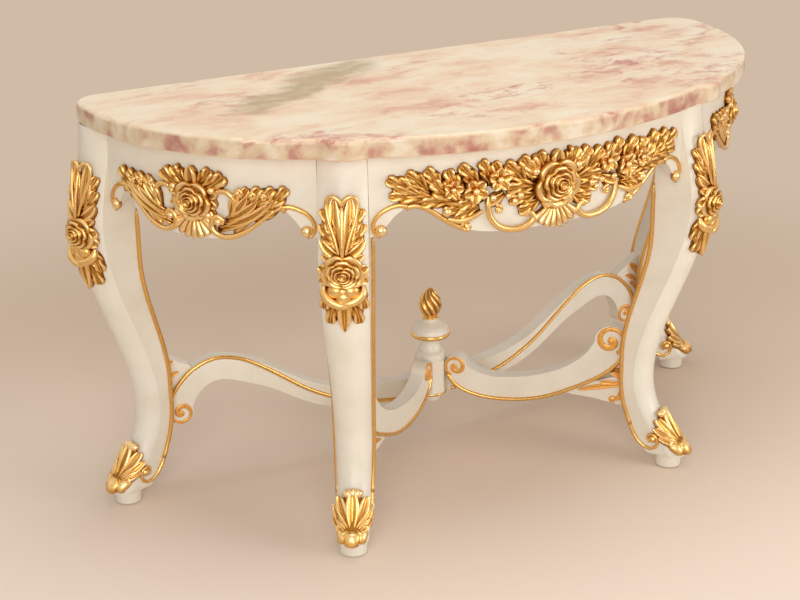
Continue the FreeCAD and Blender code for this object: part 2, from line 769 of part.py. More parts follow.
# Stretcher arms: a sawn blank between two smooth contours, with round scroll ends.
def arm_blank(upper, lower, scrolls):
    edges = [smooth_edge(upper), line_edge(upper[-1], lower[-1]), smooth_edge(lower), line_edge(lower[0], upper[0])]
    blank = extruded(edges, Vector(0, 0, size("arm_thickness")))
    discs = [Part.makeCylinder(radius, size("arm_thickness"), Vector(reach, level, 0))
             for reach, level, radius in scrolls]
    blank = blank.fuse(discs)
    blank.translate(Vector(0, 0, -half_arm))
    return blank


def contour(near, middle, far, near_end, far_end, span):
    # Points set out from the near end, at shares of the span, and from the far end.
    points = [near_end + Vector(run, rise, 0) for run, rise in near]
    points += [Vector(span * share, near_end.y + rise, 0) for share, rise in middle]
    points += [far_end + Vector(run, rise, 0) for run, rise in far]
    return points


FRONT_UPPER = (((20, 8), (70, -14)), ((0.43, -13), (0.59, 2)), ((-78, -56), (-48, -28), (-30, 6)))
FRONT_LOWER = (((-20, -10), (2, -42), (44, -60)), ((0.4, -65), (0.57, -54)),
               ((-76, -112), (-12, -74), (24, -34), (32, 0)))
scroll_in = size("front_scroll_in_height")
scroll_out = size("front_scroll_out_height")
scroll_in_reach = post_apothem + size("scroll_in_radius")
scroll_out_reach = front_span - size("scroll_out_radius") - size("scroll_clearance")
front_ends = (Vector(scroll_in_reach, scroll_in, 0), Vector(scroll_out_reach, scroll_out, 0), front_span)
front_upper = contour(*FRONT_UPPER, *front_ends)
front_lower = contour(*FRONT_LOWER, *front_ends)
front_scrolls = ((scroll_in_reach, scroll_in, size("scroll_in_radius")),
                 (scroll_out_reach, scroll_out, size("scroll_out_radius")))
front_arm_blank = arm_blank(front_upper, front_lower, front_scrolls)

REAR_UPPER = (((-8, 23),), ((0.2, 21), (0.31, 26), (0.43, 44), (0.53, 74), (0.62, 106)),
              ((-166, 99), (-116, 108), (-72, 94), (-42, 67), (-23, 38), (-16, 8)))
REAR_LOWER = (((-8, -23),), ((0.2, -26), (0.31, -22), (0.43, -4), (0.53, 26), (0.62, 57)),
              ((-166, 49), (-122, 60), (-94, 52), (-73, 31), (-62, 6)))
scroll_under = size("rear_scroll_height")
scroll_under_reach = rear_span - size("scroll_under_radius") - size("rear_scroll_gap")
rear_ends = (Vector(post_apothem, size("rear_arm_seat"), 0), Vector(rear_span, scroll_under, 0), rear_span)
rear_upper = contour(*REAR_UPPER, *rear_ends)
rear_lower = contour(*REAR_LOWER, *rear_ends)
rear_arm_blank = arm_blank(rear_upper, rear_lower,
                           ((scroll_under_reach, scroll_under, size("scroll_under_radius")),))


def finished_arm(label, blank, frame, leg, dowels):
    shape = placed(blank, frame).cut([placed(leg_blank, leg), post_blank])
    return feature(label, shape.cut(dowels))


arm_front_right = finished_arm("arm_front_right", front_arm_blank, front_arm, front_leg, front_dowels)
arm_rear_right = finished_arm("arm_rear_right", rear_arm_blank, rear_arm, rear_leg, rear_dowels)
mirrored(arm_front_right, "arm_front_left")
mirrored(arm_rear_right, "arm_rear_left")
right_dowels = front_dowels + rear_dowels
feature("arm_dowels", Part.makeCompound(right_dowels + left_dowels))


# Carved leaves that fill the corner between each arm and its leg.
def leaf_solid(label, contour, frame, arm, leg, dowels):
    edges = [smooth_edge(contour), line_edge(contour[-1], contour[0])]
    blank = extruded(edges, Vector(0, 0, size("leaf_thickness")))
    blank.translate(Vector(0, 0, -size("leaf_thickness") / 2))
    shape = placed(blank, frame).cut([arm.Shape, placed(leg_blank, leg)] + dowels)
    return feature(label, max(shape.Solids, key=lambda solid: solid.Volume))


FRONT_LEAF = ((12, -60), (-60, -92), (-128, -124), (-76, -132), (-34, -140), (16, -146))
REAR_LEAF = ((14, 2), (-18, 4), (-32, 38), (-52, 70), (-70, 90), (-42, 110), (-14, 127), (16, 131))
front_leaf = [Vector(front_span + run, scroll_out + rise, 0) for run, rise in FRONT_LEAF]
rear_leaf = [Vector(rear_span + run, scroll_under + rise, 0) for run, rise in REAR_LEAF]
leaf_front_right = leaf_solid("leaf_front_right", front_leaf, front_arm, arm_front_right, front_leg, front_dowels)
leaf_rear_right = leaf_solid("leaf_rear_right", rear_leaf, rear_arm, arm_rear_right, rear_leg, rear_dowels)
mirrored(leaf_front_right, "leaf_front_left")
mirrored(leaf_rear_right, "leaf_rear_left")


# Gilt knee carvings: a leafy drop that hugs the knee, widest at its rose.
def carved_section(level, half_width, relief, sunk):
    # A slice whose front runs parallel to the leg's own front, standing proud of it.
    front = leg_front_at(level)
    depth = leg_round_at(level)
    half_leg_here = leg_width_at(level) / 2
    arc_radius = (half_leg_here ** 2 + depth ** 2) / (2 * depth)
    fall = arc_radius - math.sqrt(arc_radius ** 2 - half_width ** 2)
    return d_section(front - sunk, front - fall + relief, front + relief, half_width, level)


knee_top = frame_top - size("knee_carving_drop")
knee_half = size("knee_carving_width") / 2
KNEE_SHAPE = ((0.0, 0.36, 0.4), (0.06, 0.62, 0.75), (0.22, 0.8, 0.9), (0.4, 0.95, 1.0), (0.55, 1.0, 1.0),
              (0.7, 0.82, 0.9), (0.87, 0.5, 0.7), (1.0, 0.08, 0.3))
knee_sections = [carved_section(knee_top - share * size("knee_carving_length"), knee_half * wide,
                                size("carving_relief") * proud, size("leg_round") * 1.6)
                 for share, wide, proud in KNEE_SHAPE]
rose_level = knee_top - size("knee_carving_length") * 0.5
rose_boss = Part.makeCylinder(size("rose_diameter") / 2, size("leg_round") + size("rose_relief"),
                              Vector(leg_front_at(rose_level) - size("leg_round"), 0, rose_level), Vector(1, 0, 0))
knee_shape = Part.makeLoft(knee_sections, True).fuse(rose_boss).cut(leg_blank)
knee_carving = max(knee_shape.Solids, key=lambda solid: solid.Volume)

# Gilt acanthus cups that wrap the front and flanks of the toes.
FOOT_SHAPE = ((1.0, 0.5, 0.56), (0.9, 0.85, 0.6), (0.78, 1.0, 0.66), (0.65, 1.0, 0.74), (0.53, 1.0, 0.84),
              (0.42, 1.0, 0.9), (0.33, 1.0, 0.9), (0.27, 0.85, 0.86))


def foot_section(share, proud, wrap):
    level = share * size("foot_carving_height")
    relief = size("foot_carving_relief") * proud
    front = leg_front_at(level) + relief
    half_width = leg_width_at(level) / 2 + relief / 2
    depth = min(leg_round_at(level), half_width * 0.9)
    return d_section(front - size("sole_width") * wrap, front - depth, front, half_width, level)


foot_shape = Part.makeLoft([foot_section(*entry) for entry in FOOT_SHAPE], True).cut(leg_blank)
foot_carving = max(foot_shape.Solids, key=lambda solid: solid.Volume)
for name, frame in (("front", front_leg), ("rear", rear_leg)):
    mirrored(feature("knee_carving_%s_right" % name, placed(knee_carving, frame)), "knee_carving_%s_left" % name)
    mirrored(feature("foot_carving_%s_right" % name, placed(foot_carving, frame)), "foot_carving_%s_left" % name)


# Gilt apron carvings: a garland with a rose, cut to an outline and curved to the apron's face.
def apron_carving(label, outline_points, rose_height, centre, radius, frame):
    left = [across(point) for point in reversed(outline_points[1:-1])]
    points = outline_points + left
    curve = Part.BSplineCurve()
    curve.interpolate(points, PeriodicFlag=True)
    depth = size("rail_thickness") * 4
    plate = extruded([curve.toShape()], Vector(0, depth, 0))
    plate.translate(Vector(0, -depth / 2, 0))
    low = Vector(centre.x, centre.y, frame_top - size("apron_depth") * 1.2)
    height = size("apron_depth") * 1.2
    shell = Part.makeCylinder(radius + size("carving_relief"), height, low)
    back = Part.makeCylinder(radius, height, low)
    rose = Part.makeCylinder(size("apron_rose_diameter") / 2, size("apron_rose_relief") + size("rail_thickness"),
                             Vector(0, size("rail_thickness"), rose_height), Vector(0, -1, 0))
    return feature(label, placed(plate, frame).common(shell).fuse(placed(rose, frame)).cut(back))


def garland(shares, half_length):
    return [Vector(half_length * share, 0, frame_top - drop) for share, drop in shares]


FRONT_GARLAND = ((0, 26), (0.35, 32), (0.7, 32), (0.93, 50), (0.74, 84), (0.5, 118), (0.34, 154), (0.2, 150), (0, 168))
SIDE_GARLAND = ((0, 36), (0.38, 46), (0.84, 74), (0.64, 112), (0.36, 148), (0, 157))
front_outline = garland(FRONT_GARLAND, front_pair[0].x)
apron_carving("carving_front", front_outline, frame_top - size("front_rose_drop"), front_rail_centre,
              front_rail_radius, front_rail_frame)
side_half = side_chord.Length / 2
side_bulge = side_rail_radius - math.sqrt(side_rail_radius ** 2 - side_half ** 2)
side_face = Placement(side_middle + side_frame.Rotation.multVec(Vector(0, -side_bulge, 0)), side_frame.Rotation)
side_outline = garland(SIDE_GARLAND, side_half)
carving_right = apron_carving("carving_right", side_outline, frame_top - size("side_rose_drop"), side_rail_centre,
                              side_rail_radius, side_face)
mirrored(carving_right, "carving_left")

# Slab pads on the leg tops and bearers, and glides under the feet.
pad_places = [front_leg.Base, rear_leg.Base, Vector(size("bearer_offset"), 0, 0)]
pad_places += [across(place) for place in pad_places]
pads = [Part.makeCylinder(size("pad_diameter") / 2, size("pad_thickness"), place + Vector(0, 0, frame_top))
        for place in pad_places]
feature("top_pads", Part.makeCompound(pads))
glide_places = [front_leg.Base, rear_leg.Base, across(front_leg.Base), across(rear_leg.Base)]
glides = [Part.makeCylinder(size("glide_diameter") / 2, size("glide_height"), place) for place in glide_places]
feature("foot_glides", Part.makeCompound(glides))

doc.recompute()
for item in doc.Objects:
    if "Invalid" in item.State or "Error" in item.State:
        raise RuntimeError("failed object: %s" % item.Label)
for item in pieces:
    if item.Shape.isNull() or not item.Shape.isValid():
        raise RuntimeError("bad shape: %s" % item.Label)

os.makedirs("parts", exist_ok=True)
for item in pieces:
    item.Shape.exportStep("parts/%s.step" % item.Label)
    box = item.Shape.BoundBox
    print("%-26s solids %2d volume %8.1f cm3  x %7.1f..%7.1f  y %7.1f..%7.1f  z %6.1f..%6.1f"
          % (item.Label, len(item.Shape.Solids), item.Shape.Volume / 1000,
             box.XMin, box.XMax, box.YMin, box.YMax, box.ZMin, box.ZMax))
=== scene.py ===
# Demilune pier table: a marble slab on a carved frame, painted cream and gilt, with four cabriole legs.
# Sizes are in millimetres and turn to metres where a mesh is made. +X right, +Y to the wall, +Z up.
import math

import bmesh
import bpy
import numpy as np
from mathutils import Matrix, Vector


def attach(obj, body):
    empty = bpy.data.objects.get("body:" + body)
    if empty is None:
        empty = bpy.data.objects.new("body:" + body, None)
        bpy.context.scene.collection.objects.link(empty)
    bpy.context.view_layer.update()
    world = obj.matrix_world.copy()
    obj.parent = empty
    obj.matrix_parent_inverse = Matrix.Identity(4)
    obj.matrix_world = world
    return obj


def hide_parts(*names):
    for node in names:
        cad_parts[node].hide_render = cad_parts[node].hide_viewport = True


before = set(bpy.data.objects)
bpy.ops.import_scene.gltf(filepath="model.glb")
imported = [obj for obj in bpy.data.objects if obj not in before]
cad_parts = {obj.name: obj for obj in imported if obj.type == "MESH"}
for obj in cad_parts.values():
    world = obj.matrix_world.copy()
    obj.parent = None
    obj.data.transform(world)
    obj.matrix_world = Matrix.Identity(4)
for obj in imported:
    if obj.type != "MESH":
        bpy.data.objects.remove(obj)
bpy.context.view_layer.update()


# Painted frame: legs, aprons, post, and stretcher arms with their leaf brackets are beech, sized with
# gesso and brushed with cream oil paint that has a soft, slightly uneven gloss. The legs take the
# aprons' tenons, and the arms are dowelled to the legs and the post.
PAINTED = ["apron_front", "apron_left", "apron_right", "centre_post"]
PAINTED += ["%s_%s_%s" % (kind, end, hand) for kind in ("leg", "arm", "leaf")
            for end in ("front", "rear") for hand in ("left", "right")]


def linear(code):
    # A linear colour from an sRGB hex code.
    parts = [int(code[place:place + 2], 16) / 255 for place in (1, 3, 5)]
    return (*[part / 12.92 if part <= 0.04045 else ((part + 0.055) / 1.055) ** 2.4 for part in parts], 1.0)


def wire(tree, made, inputs):
    # Fills a node's inputs, by name or in their own order, each with a value, a hex colour, an output, or
    # another node for its first output.
    for name, value in inputs.items() if isinstance(inputs, dict) else enumerate(inputs):
        if isinstance(value, bpy.types.Node):
            value = value.outputs[0]
        if isinstance(value, bpy.types.NodeSocket):
            tree.links.new(value, made.inputs[name])
        else:
            made.inputs[name].default_value = linear(value) if isinstance(value, str) else value


def node(tree, kind, inputs=(), stops=(), **settings):
    # Adds a shader node with its settings and inputs; stops fill a colour ramp.
    made = tree.nodes.new("ShaderNode" + kind)
    for name, value in settings.items():
        setattr(made, name, value)
    if stops:
        ramp = made.color_ramp.elements
        ramp.remove(ramp[-1])
        ramp[0].position, ramp[0].color = stops[0][0], linear(stops[0][1])
        for place, code in stops[1:]:
            ramp.new(place).color = linear(code)
    wire(tree, made, inputs)
    return made


def material(name):
    made = bpy.data.materials.new(name)
    made.use_nodes = True
    return made, made.node_tree, made.node_tree.nodes["Principled BSDF"]


def dress(names, finish):
    # Gives CAD nodes a material in place of their own.
    for name in names:
        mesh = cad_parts[name].data
        mesh.materials.clear()
        mesh.materials.append(finish)


# Brushed oil paint over gesso: 90 mm clouds in the cream, and 3 mm brush texture under a soft gloss.
cream, tree, shader = material("cream_oil_paint")
place = node(tree, "TexCoord").outputs["Object"]
clouds = node(tree, "TexNoise", {"Vector": place, "Scale": 1000 / 90, "Detail": 5.0, "Roughness": 0.6})
tone = node(tree, "ValToRGB", {"Fac": clouds}, [(0.3, "#E6E1D2"), (0.5, "#ECE8DB"), (0.7, "#F0EDE2")])
strokes = node(tree, "TexNoise", {"Vector": place, "Scale": 1000 / 3, "Detail": 2.0})
gloss = node(tree, "MapRange", {"Value": clouds, "To Min": 0.3, "To Max": 0.44})
brushed = node(tree, "Bump", {"Height": strokes, "Strength": 0.06, "Distance": 0.0006})
wire(tree, shader, {"Base Color": tone, "Roughness": gloss, "Normal": brushed,
                    "Coat Weight": 0.25, "Coat Roughness": 0.22})
dress(PAINTED, cream)


# Hidden frame: the rear rail, the bearers under the slab, and the pegs and dowels of the joints are
# left as bare beech, planed and waxed.
BARE = ["rear_rail", "bearer_left", "bearer_right", "bearer_dowels", "tenon_pegs", "arm_dowels"]
# Beech: pale pinkish tan, with a 5 mm grain drawn out to 125 mm along the rail, and finer pores in it.
beech, tree, shader = material("planed_beech")
place = node(tree, "TexCoord").outputs["Object"]
stretched = node(tree, "Mapping", {"Vector": place, "Scale": (1000 / 125, 1000 / 5, 1000 / 5)})
grain = node(tree, "TexNoise", {"Vector": stretched, "Scale": 1.0, "Detail": 6.0})
tone = node(tree, "ValToRGB", {"Fac": grain}, [(0.3, "#A9825A"), (0.52, "#C7A27A"), (0.72, "#D8B892")])
planed = node(tree, "Bump", {"Height": grain, "Strength": 0.15, "Distance": 0.0005})
wire(tree, shader, {"Base Color": tone, "Normal": planed, "Roughness": 0.6})
dress(BARE, beech)


# Foot glides and slab pads: black moulded polythene under the feet, and cork-brown rubber discs that
# bed the slab, both with a fine 1.5 mm moulded grain.
for name, label, dark, light, rough in (("foot_glides", "moulded_polythene", "#1E1C1A", "#2C2926", 0.5),
                                        ("top_pads", "cork_rubber", "#5B4632", "#7A6046", 0.8)):
    grainy, tree, shader = material(label)
    place = node(tree, "TexCoord").outputs["Object"]
    grain = node(tree, "TexNoise", {"Vector": place, "Scale": 1000 / 1.5, "Detail": 2.0})
    tone = node(tree, "ValToRGB", {"Fac": grain}, [(0.35, dark), (0.65, light)])
    wire(tree, shader, {"Base Color": tone, "Roughness": rough})
    dress([name], grainy)


# Gilt beads: round mouldings, half sunk in the wood, run along the inner corners of the legs, the shaped
# edges of the aprons and the corners of the arms, laid with gold leaf over red-brown bole.
LEG_BEAD, APRON_BEAD, ARM_BEAD = 4.3, 5.0, 4.2

# Burnished water gilding with painted shade: the leaf is palest on every high place and runs to a dark umber
# as the recess value rises, as painted shade in the hollows; 7 mm patches show the overlapping leaves, and 2
# mm ripples the gesso under them.
gilt, tree, shader = material("water_gilding")
place = node(tree, "TexCoord").outputs["Object"]
# The recess attribute says how deep in shade each point lies, and darkens the leaf as painted shade.
hollow = node(tree, "Attribute", attribute_name="recess").outputs["Fac"]
patches = node(tree, "TexNoise", {"Vector": place, "Scale": 1000 / 7, "Detail": 3.0})
worn = node(tree, "Math", (patches, 0.28), operation="MULTIPLY")
depth = node(tree, "Math", (hollow, worn), operation="ADD")
tone = node(tree, "ValToRGB", {"Fac": depth},
            [(0.08, "#F8DCA6"), (0.36, "#E8BA6E"), (0.7, "#BD8030"), (1.0, "#6E400E")])
gloss = node(tree, "MapRange", {"Value": depth, "To Min": 0.18, "To Max": 0.42})
ripples = node(tree, "TexNoise", {"Vector": place, "Scale": 1000 / 2, "Detail": 2.0})
laid = node(tree, "Bump", {"Height": ripples, "Strength": 0.12, "Distance": 0.0008})
wire(tree, shader, {"Base Color": tone, "Roughness": gloss, "Normal": laid, "Metallic": 0.88})


def ring_faces(rings, sides):
    # The faces of a closed tube: quads between its rings, and a cap at each end.
    index = np.arange(rings * sides).reshape(rings, sides)
    after = np.roll(index, -1, axis=1)
    quads = np.stack([index[:-1], after[:-1], after[1:], index[1:]], axis=-1).reshape(-1, 4)
    return quads.tolist() + [index[0, ::-1].tolist(), index[-1].tolist()]


def rod(path, radius, sides=10, recess=0.15):
    # A closed round rod along a path: points, faces and how deep in shade each point is.
    path = np.asarray(path, float)
    radius = np.broadcast_to(radius, len(path))
    along = np.gradient(path, axis=0)
    along /= np.linalg.norm(along, axis=1)[:, None]
    side = np.cross(along[0], (0, 0, 1) if abs(along[0][2]) < 0.9 else (1, 0, 0))
    turn = np.linspace(0, 2 * np.pi, sides, endpoint=False)[:, None]
    rings = []
    for point, ahead, reach in zip(path, along, radius):
        side = side - ahead * (side @ ahead)
        side /= np.linalg.norm(side)
        rings.append(point + reach * (np.cos(turn) * side + np.sin(turn) * np.cross(ahead, side)))
    return np.vstack(rings), ring_faces(len(path), sides), np.full(len(path) * sides, recess)


def piece(name, parts, finish, surface=None, flip=False, mirror=False, stands_for=()):
    # Joins parts into one smooth mesh, bends it onto a surface, and fixes it to the frame.
    points, faces, recess, count = [], [], [], 0
    for part_points, part_faces, part_recess in parts:
        points.append(part_points)
        faces += [[corner + count for corner in face] for face in part_faces]
        recess.append(part_recess)
        count += len(part_points)
    points = np.vstack(points)
    points = surface(points) if surface else points
    if mirror:
        points = points * (-1, 1, 1)
    if flip != mirror:
        faces = [face[::-1] for face in faces]
    mesh = bpy.data.meshes.new(name)
    mesh.from_pydata((points / 1000).tolist(), [], faces)
    mesh.polygons.foreach_set("use_smooth", [True] * len(faces))
    mesh.attributes.new("recess", "FLOAT", "POINT").data.foreach_set("value", np.concatenate(recess))
    mesh.materials.append(finish)
    made = bpy.data.objects.new(name, mesh)
    bpy.context.scene.collection.objects.link(made)
    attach(made, "frame")
    if stands_for:
        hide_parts(*stands_for)


SHARP_CORNER = math.radians(32)
SHORTEST_RUN = 25


def corner_lines(name, keep):
    # Runs of a CAD node's sharp corners, in millimetres, where keep(middle, normals) is true.
    work = bmesh.new()
    work.from_mesh(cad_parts[name].data)
    bmesh.ops.remove_doubles(work, verts=work.verts, dist=0.00002)
    joined = {}
    for edge in work.edges:
        if len(edge.link_faces) == 2 and edge.calc_face_angle(0) > SHARP_CORNER:
            first, last = [np.array(vert.co) * 1000 for vert in edge.verts]
            if keep((first + last) / 2, [np.array(face.normal) for face in edge.link_faces]):
                for vert, other in (edge.verts, reversed(edge.verts)):
                    joined.setdefault(vert.index, []).append(other.index)
    spots = {vert.index: np.array(vert.co) * 1000 for vert in work.verts if vert.index in joined}
    work.free()
    runs = []
    while joined:
        here = min(joined, key=lambda spot: (len(joined[spot]), spot))
        run = [here]
        while joined.get(here):
            ahead = joined[here].pop()
            joined[ahead].remove(here)
            if not joined[here]:
                del joined[here]
            run.append(ahead)
            here = ahead
        joined.pop(here, None)
        runs.append(np.array([spots[spot] for spot in run]))
    return [run for run in runs if np.linalg.norm(np.diff(run, axis=0), axis=1).sum() > SHORTEST_RUN]


def evenly(run, spacing):
    # The same run with its points a set distance apart.
    steps = np.concatenate([[0], np.cumsum(np.linalg.norm(np.diff(run, axis=0), axis=1))])
    even = np.linspace(0, steps[-1], max(int(steps[-1] / spacing), 3))
    return np.stack([np.interp(even, steps, run[:, axis]) for axis in range(3)], axis=1)


# Each right-hand leg: its place, and how far its knee is turned from the front to the right, in degrees.
LEG_PLACES = {"front": (365.0, -167.0, 30.0), "rear": (672.0, 235.0, 70.0)}
# Heights where the curves of a leg's back meet, and how far out its back lies at block, shin and foot.
BACK_TOP, BACK_LOW, ANKLE, FOOT_TOP = 520, 240, 190, 28
BLOCK_BACK, SHIN_BACK, FOOT_BACK = -40, -97, -34


def ease(value):
    value = np.clip(value, 0, 1)
    return value * value * (3 - 2 * value)


def leg_back(level):
    upper = BLOCK_BACK + (SHIN_BACK - BLOCK_BACK) * ease((BACK_TOP - level) / (BACK_TOP - BACK_LOW))
    below = np.maximum(ANKLE - level, 0) / (ANKLE - FOOT_TOP)
    return np.where(level > BACK_LOW, upper, SHIN_BACK + (FOOT_BACK - SHIN_BACK) * below ** 2.2)


def from_leg(points, leg):
    # Leg frame (+X outward at the knee) to the table's frame, for the right-hand legs.
    x, y, angle = LEG_PLACES[leg]
    turn = math.radians(angle - 90)
    cos, sin = math.cos(turn), math.sin(turn)
    return np.stack([x + points[:, 0] * cos - points[:, 1] * sin, y + points[:, 0] * sin + points[:, 1] * cos,
                     points[:, 2]], axis=1)


def to_leg(point, leg):
    # How far outward and how far across a point lies in its leg's frame, as on the right-hand legs.
    x, y, angle = LEG_PLACES[leg]
    turn = math.radians(angle - 90)
    run_x, run_y = abs(point[0]) - x, point[1] - y
    return run_x * math.cos(turn) + run_y * math.sin(turn), run_y * math.cos(turn) - run_x * math.sin(turn)


# The legs' beads: their lowest and highest point, how far they stand out of the cheeks, and the run at the
# top in which they thin to a tip.
LEG_BEAD_LOW, LEG_BEAD_HIGH, LEG_BEAD_PROUD, LEG_BEAD_TIP = 82, 668, 2.4, 24
LEGS = [(leg, leg + "_" + hand, hand == "left") for leg in ("front", "rear") for hand in ("left", "right")]
for leg, label, left in LEGS:
    def inner_corner(middle, normals):
        reach, across = to_leg(middle, leg)
        at_back = reach < leg_back(middle[2]) + 4 and abs(across) > 25
        return LEG_BEAD_LOW < middle[2] < LEG_BEAD_HIGH and at_back
    beads = []
    for run in corner_lines("leg_" + label, inner_corner):
        line = np.array([(*to_leg(point, leg), point[2]) for point in run])
        line[:, 1] += LEG_BEAD_PROUD * np.sign(line[:, 1])
        line = evenly(line, 8)
        thin = np.interp(line[:, 2].max() - line[:, 2], [0, LEG_BEAD_TIP], [0.35, 1])
        beads.append(rod(from_leg(line, leg), LEG_BEAD * thin, recess=0.3))
    piece("leg_bead_" + label, beads, gilt, mirror=left)

# The aprons' bows: centre and radius of each outer face in plan, and half its length.
FRONT_CENTRE, FRONT_RADIUS, FRONT_HALF = (0.0, 519.107), 791.889, 343.0
SIDE_CENTRE, SIDE_RADIUS, SIDE_HALF = (216.999, 258.689), 456.455, 224.5
SIDE_MIDDLE = (538.719, 17.035)
SIDE_ANGLE = math.atan2(SIDE_MIDDLE[1] - SIDE_CENTRE[1], SIDE_MIDDLE[0] - SIDE_CENTRE[0])


def front_face(points):
    # Flat layout on the front apron (across, up, proud) bent to its bow.
    turn, reach = points[:, 0] / FRONT_RADIUS, FRONT_RADIUS + points[:, 2]
    return np.stack([reach * np.sin(turn), FRONT_CENTRE[1] - reach * np.cos(turn), points[:, 1]], axis=1)


def around(centre, reach, angle, *level):
    # Points at a reach and angle from a centre, with their level where it is given.
    return np.stack([centre[0] + reach * np.cos(angle), centre[1] + reach * np.sin(angle), *level], axis=-1)


def side_face(points):
    # The same for the right-hand apron.
    turn, reach = SIDE_ANGLE + points[:, 0] / SIDE_RADIUS, SIDE_RADIUS + points[:, 2]
    return around(SIDE_CENTRE, reach, turn, points[:, 1])


# An apron's bead runs on its face along the sawn edge, from under the garland to the hook near the leg.
SAWN_TOP = 712
SIDE_BEAD = (SIDE_CENTRE, SIDE_RADIUS, SIDE_HALF, 74, 54)
for name, (centre, radius, half, start, ear) in (
        ("apron_front", (FRONT_CENTRE, FRONT_RADIUS, FRONT_HALF, 166, 64)),
        ("apron_left", SIDE_BEAD), ("apron_right", SIDE_BEAD)):
    def sawn_corner(middle, normals):
        if name == "apron_front":
            run = middle[:2] - centre
            turn = math.atan2(run[0], -run[1])
        else:
            run = np.array([abs(middle[0]), middle[1]]) - centre
            turn = math.atan2(run[1], run[0]) - SIDE_ANGLE
        on_face = abs(np.linalg.norm(run) - radius) < 0.6
        return on_face and middle[2] < SAWN_TOP and start < abs(turn) * radius < half - ear
    beads = [rod(evenly(run, 7), APRON_BEAD, recess=0.2) for run in corner_lines(name, sawn_corner)]
    piece(name + "_bead", beads, gilt)


def smooth(points, steps=8):
    # A smooth curve through given points.
    points = np.asarray(points, float)
    ends = np.vstack([2 * points[0] - points[1], points, 2 * points[-1] - points[-2]])
    share = np.linspace(0, 1, steps, endpoint=False)[:, None]
    runs = []
    for a, b, c, d in zip(ends, ends[1:], ends[2:], ends[3:]):
        slope, bend, twist = c - a, 2 * a - 5 * b + 4 * c - d, 3 * (b - c) + d - a
        runs.append(b + 0.5 * share * (slope + share * (bend + share * twist)))
    return np.vstack(runs + [points[-1:]])


def both(parts):
    # The parts and their mirror images across the middle of a layout.
    return parts + [(points * (-1, 1, 1), [face[::-1] for face in faces], shade)
                    for points, faces, shade in parts]


def ball(centre, radius, base, tall=1.0, recess=0.1):
    # A round boss that stands on base, in a flat layout.
    lift, sides = np.linspace(-0.98, 0.98, 11), 16
    path = np.column_stack([np.tile(centre, (len(lift), 1)), base + radius * tall * lift])
    points, faces, _ = rod(path, radius * np.sqrt(1 - lift ** 2), sides)
    # Painted shade: the boss darkens towards its foot and pales towards its top.
    return points, faces, np.repeat(np.clip(recess + 0.55 * (0.4 - lift), 0, 1), sides)


EAR = [(-66, 687), (-52, 690), (-36, 686), (-20, 677), (-9, 664), (-6, 650), (-10, 638), (-19, 634)]
EAR_BALL = (-20, 645)


def ears(half):
    # The bead's end beside each leg: it hooks round a ball, right and left.
    hook = evenly(smooth([(half + run, level, 1.0) for run, level in EAR]), 5)
    return both([rod(hook, np.linspace(APRON_BEAD, 3.4, len(hook)), recess=0.2),
                 ball((half + EAR_BALL[0], EAR_BALL[1]), 10.5, 1.0, 0.9)])


piece("front_ear_hooks", ears(FRONT_HALF), gilt, front_face)
for hand in ("right", "left"):
    piece("side_ear_hooks_" + hand, ears(SIDE_HALF), gilt, side_face, mirror=hand == "left")


# Stretcher gilding: the arms' scrolls carry flat painted coils that run out along one corner, and the
# brackets carry painted leaf strokes. The coils are raised gesso with gold paint, flatter than leaf.
POST = np.array([0.0, 193.0])
ARM_SEATS = {"front": (316.5, -82.996), "rear": (580.85, 268.176)}
HALF_ARM, HALF_BRACKET = 15, 11

# Gold paint in oil: ochre metal flake, matter than leaf, with 5 mm brush streaks.
gold_paint, tree, shader = material("gold_oil_paint")
place = node(tree, "TexCoord").outputs["Object"]
streaks = node(tree, "TexNoise", {"Vector": place, "Scale": 1000 / 5, "Detail": 4.0})
tone = node(tree, "ValToRGB", {"Fac": streaks}, [(0.3, "#DA9A44"), (0.5, "#E9AC56"), (0.72, "#F3C277")])
brushed = node(tree, "Bump", {"Height": streaks, "Strength": 0.1, "Distance": 0.0005})
wire(tree, shader, {"Base Color": tone, "Normal": brushed, "Metallic": 0.6, "Roughness": 0.4})

ROOT_DEPTH = 4


def shell(top, base, recess):
    # Closes a grid of top points with walls down to a root below the base.
    long, wide = top.shape[:2]
    index = np.arange(long * wide).reshape(long, wide)
    quads = np.stack([index[:-1, :-1], index[1:, :-1], index[1:, 1:], index[:-1, 1:]], axis=-1).reshape(-1, 4)
    rim = np.concatenate([index[:, 0], index[-1, 1:], index[-2::-1, -1], index[0, -2:0:-1]])
    foot = np.arange(len(rim)) + long * wide
    walls = np.stack([np.roll(rim, -1), rim, foot, np.roll(foot, -1)], axis=-1)
    flat = top.reshape(-1, 3)
    under = flat[rim].copy()
    under[:, 2] = base - ROOT_DEPTH
    faces = quads.tolist() + walls.tolist() + [foot[::-1].tolist()]
    # The walls down to the root take full painted shade.
    return np.vstack([flat, under]), faces, np.concatenate([recess.reshape(-1), np.ones(len(rim))])


def strip(spine, width, across, section, rise, base, recess, sweep=0.0):
    # A band along a flat spine with its own cross-section; rise scales the height along it, and sweep
    # draws the margins forward.
    ahead = np.gradient(spine, axis=0)
    ahead /= np.linalg.norm(ahead, axis=1)[:, None]
    left = np.stack([-ahead[:, 1], ahead[:, 0]], axis=1)
    flat = spine[:, None, :] + left[:, None, :] * (width[:, None] * across)[..., None]
    flat += ahead[:, None, :] * (sweep * width[:, None] * np.abs(across))[..., None]
    top = np.concatenate([flat, (base + rise[:, None] * section)[..., None]], axis=-1)
    return shell(top, base, np.clip(recess, 0, 1))


BAND_ACROSS = np.array([-1, -0.8, -0.3, 0.3, 0.8, 1])
BAND_SECTION = np.array([0.35, 0.85, 1, 1, 0.85, 0.35])
BAND_HEIGHT = 2.4
# A coil's outer and inner edge as shares of the scroll's radius, from its start on the rim to its eye.
COIL_EDGES = [(0.96, 0.74), (0.96, 0.71), (0.93, 0.65), (0.8, 0.4), (0.56, 0.14), (0.38, 0.08), (0.26, 0.0)]
COIL_TURNS = 1.5


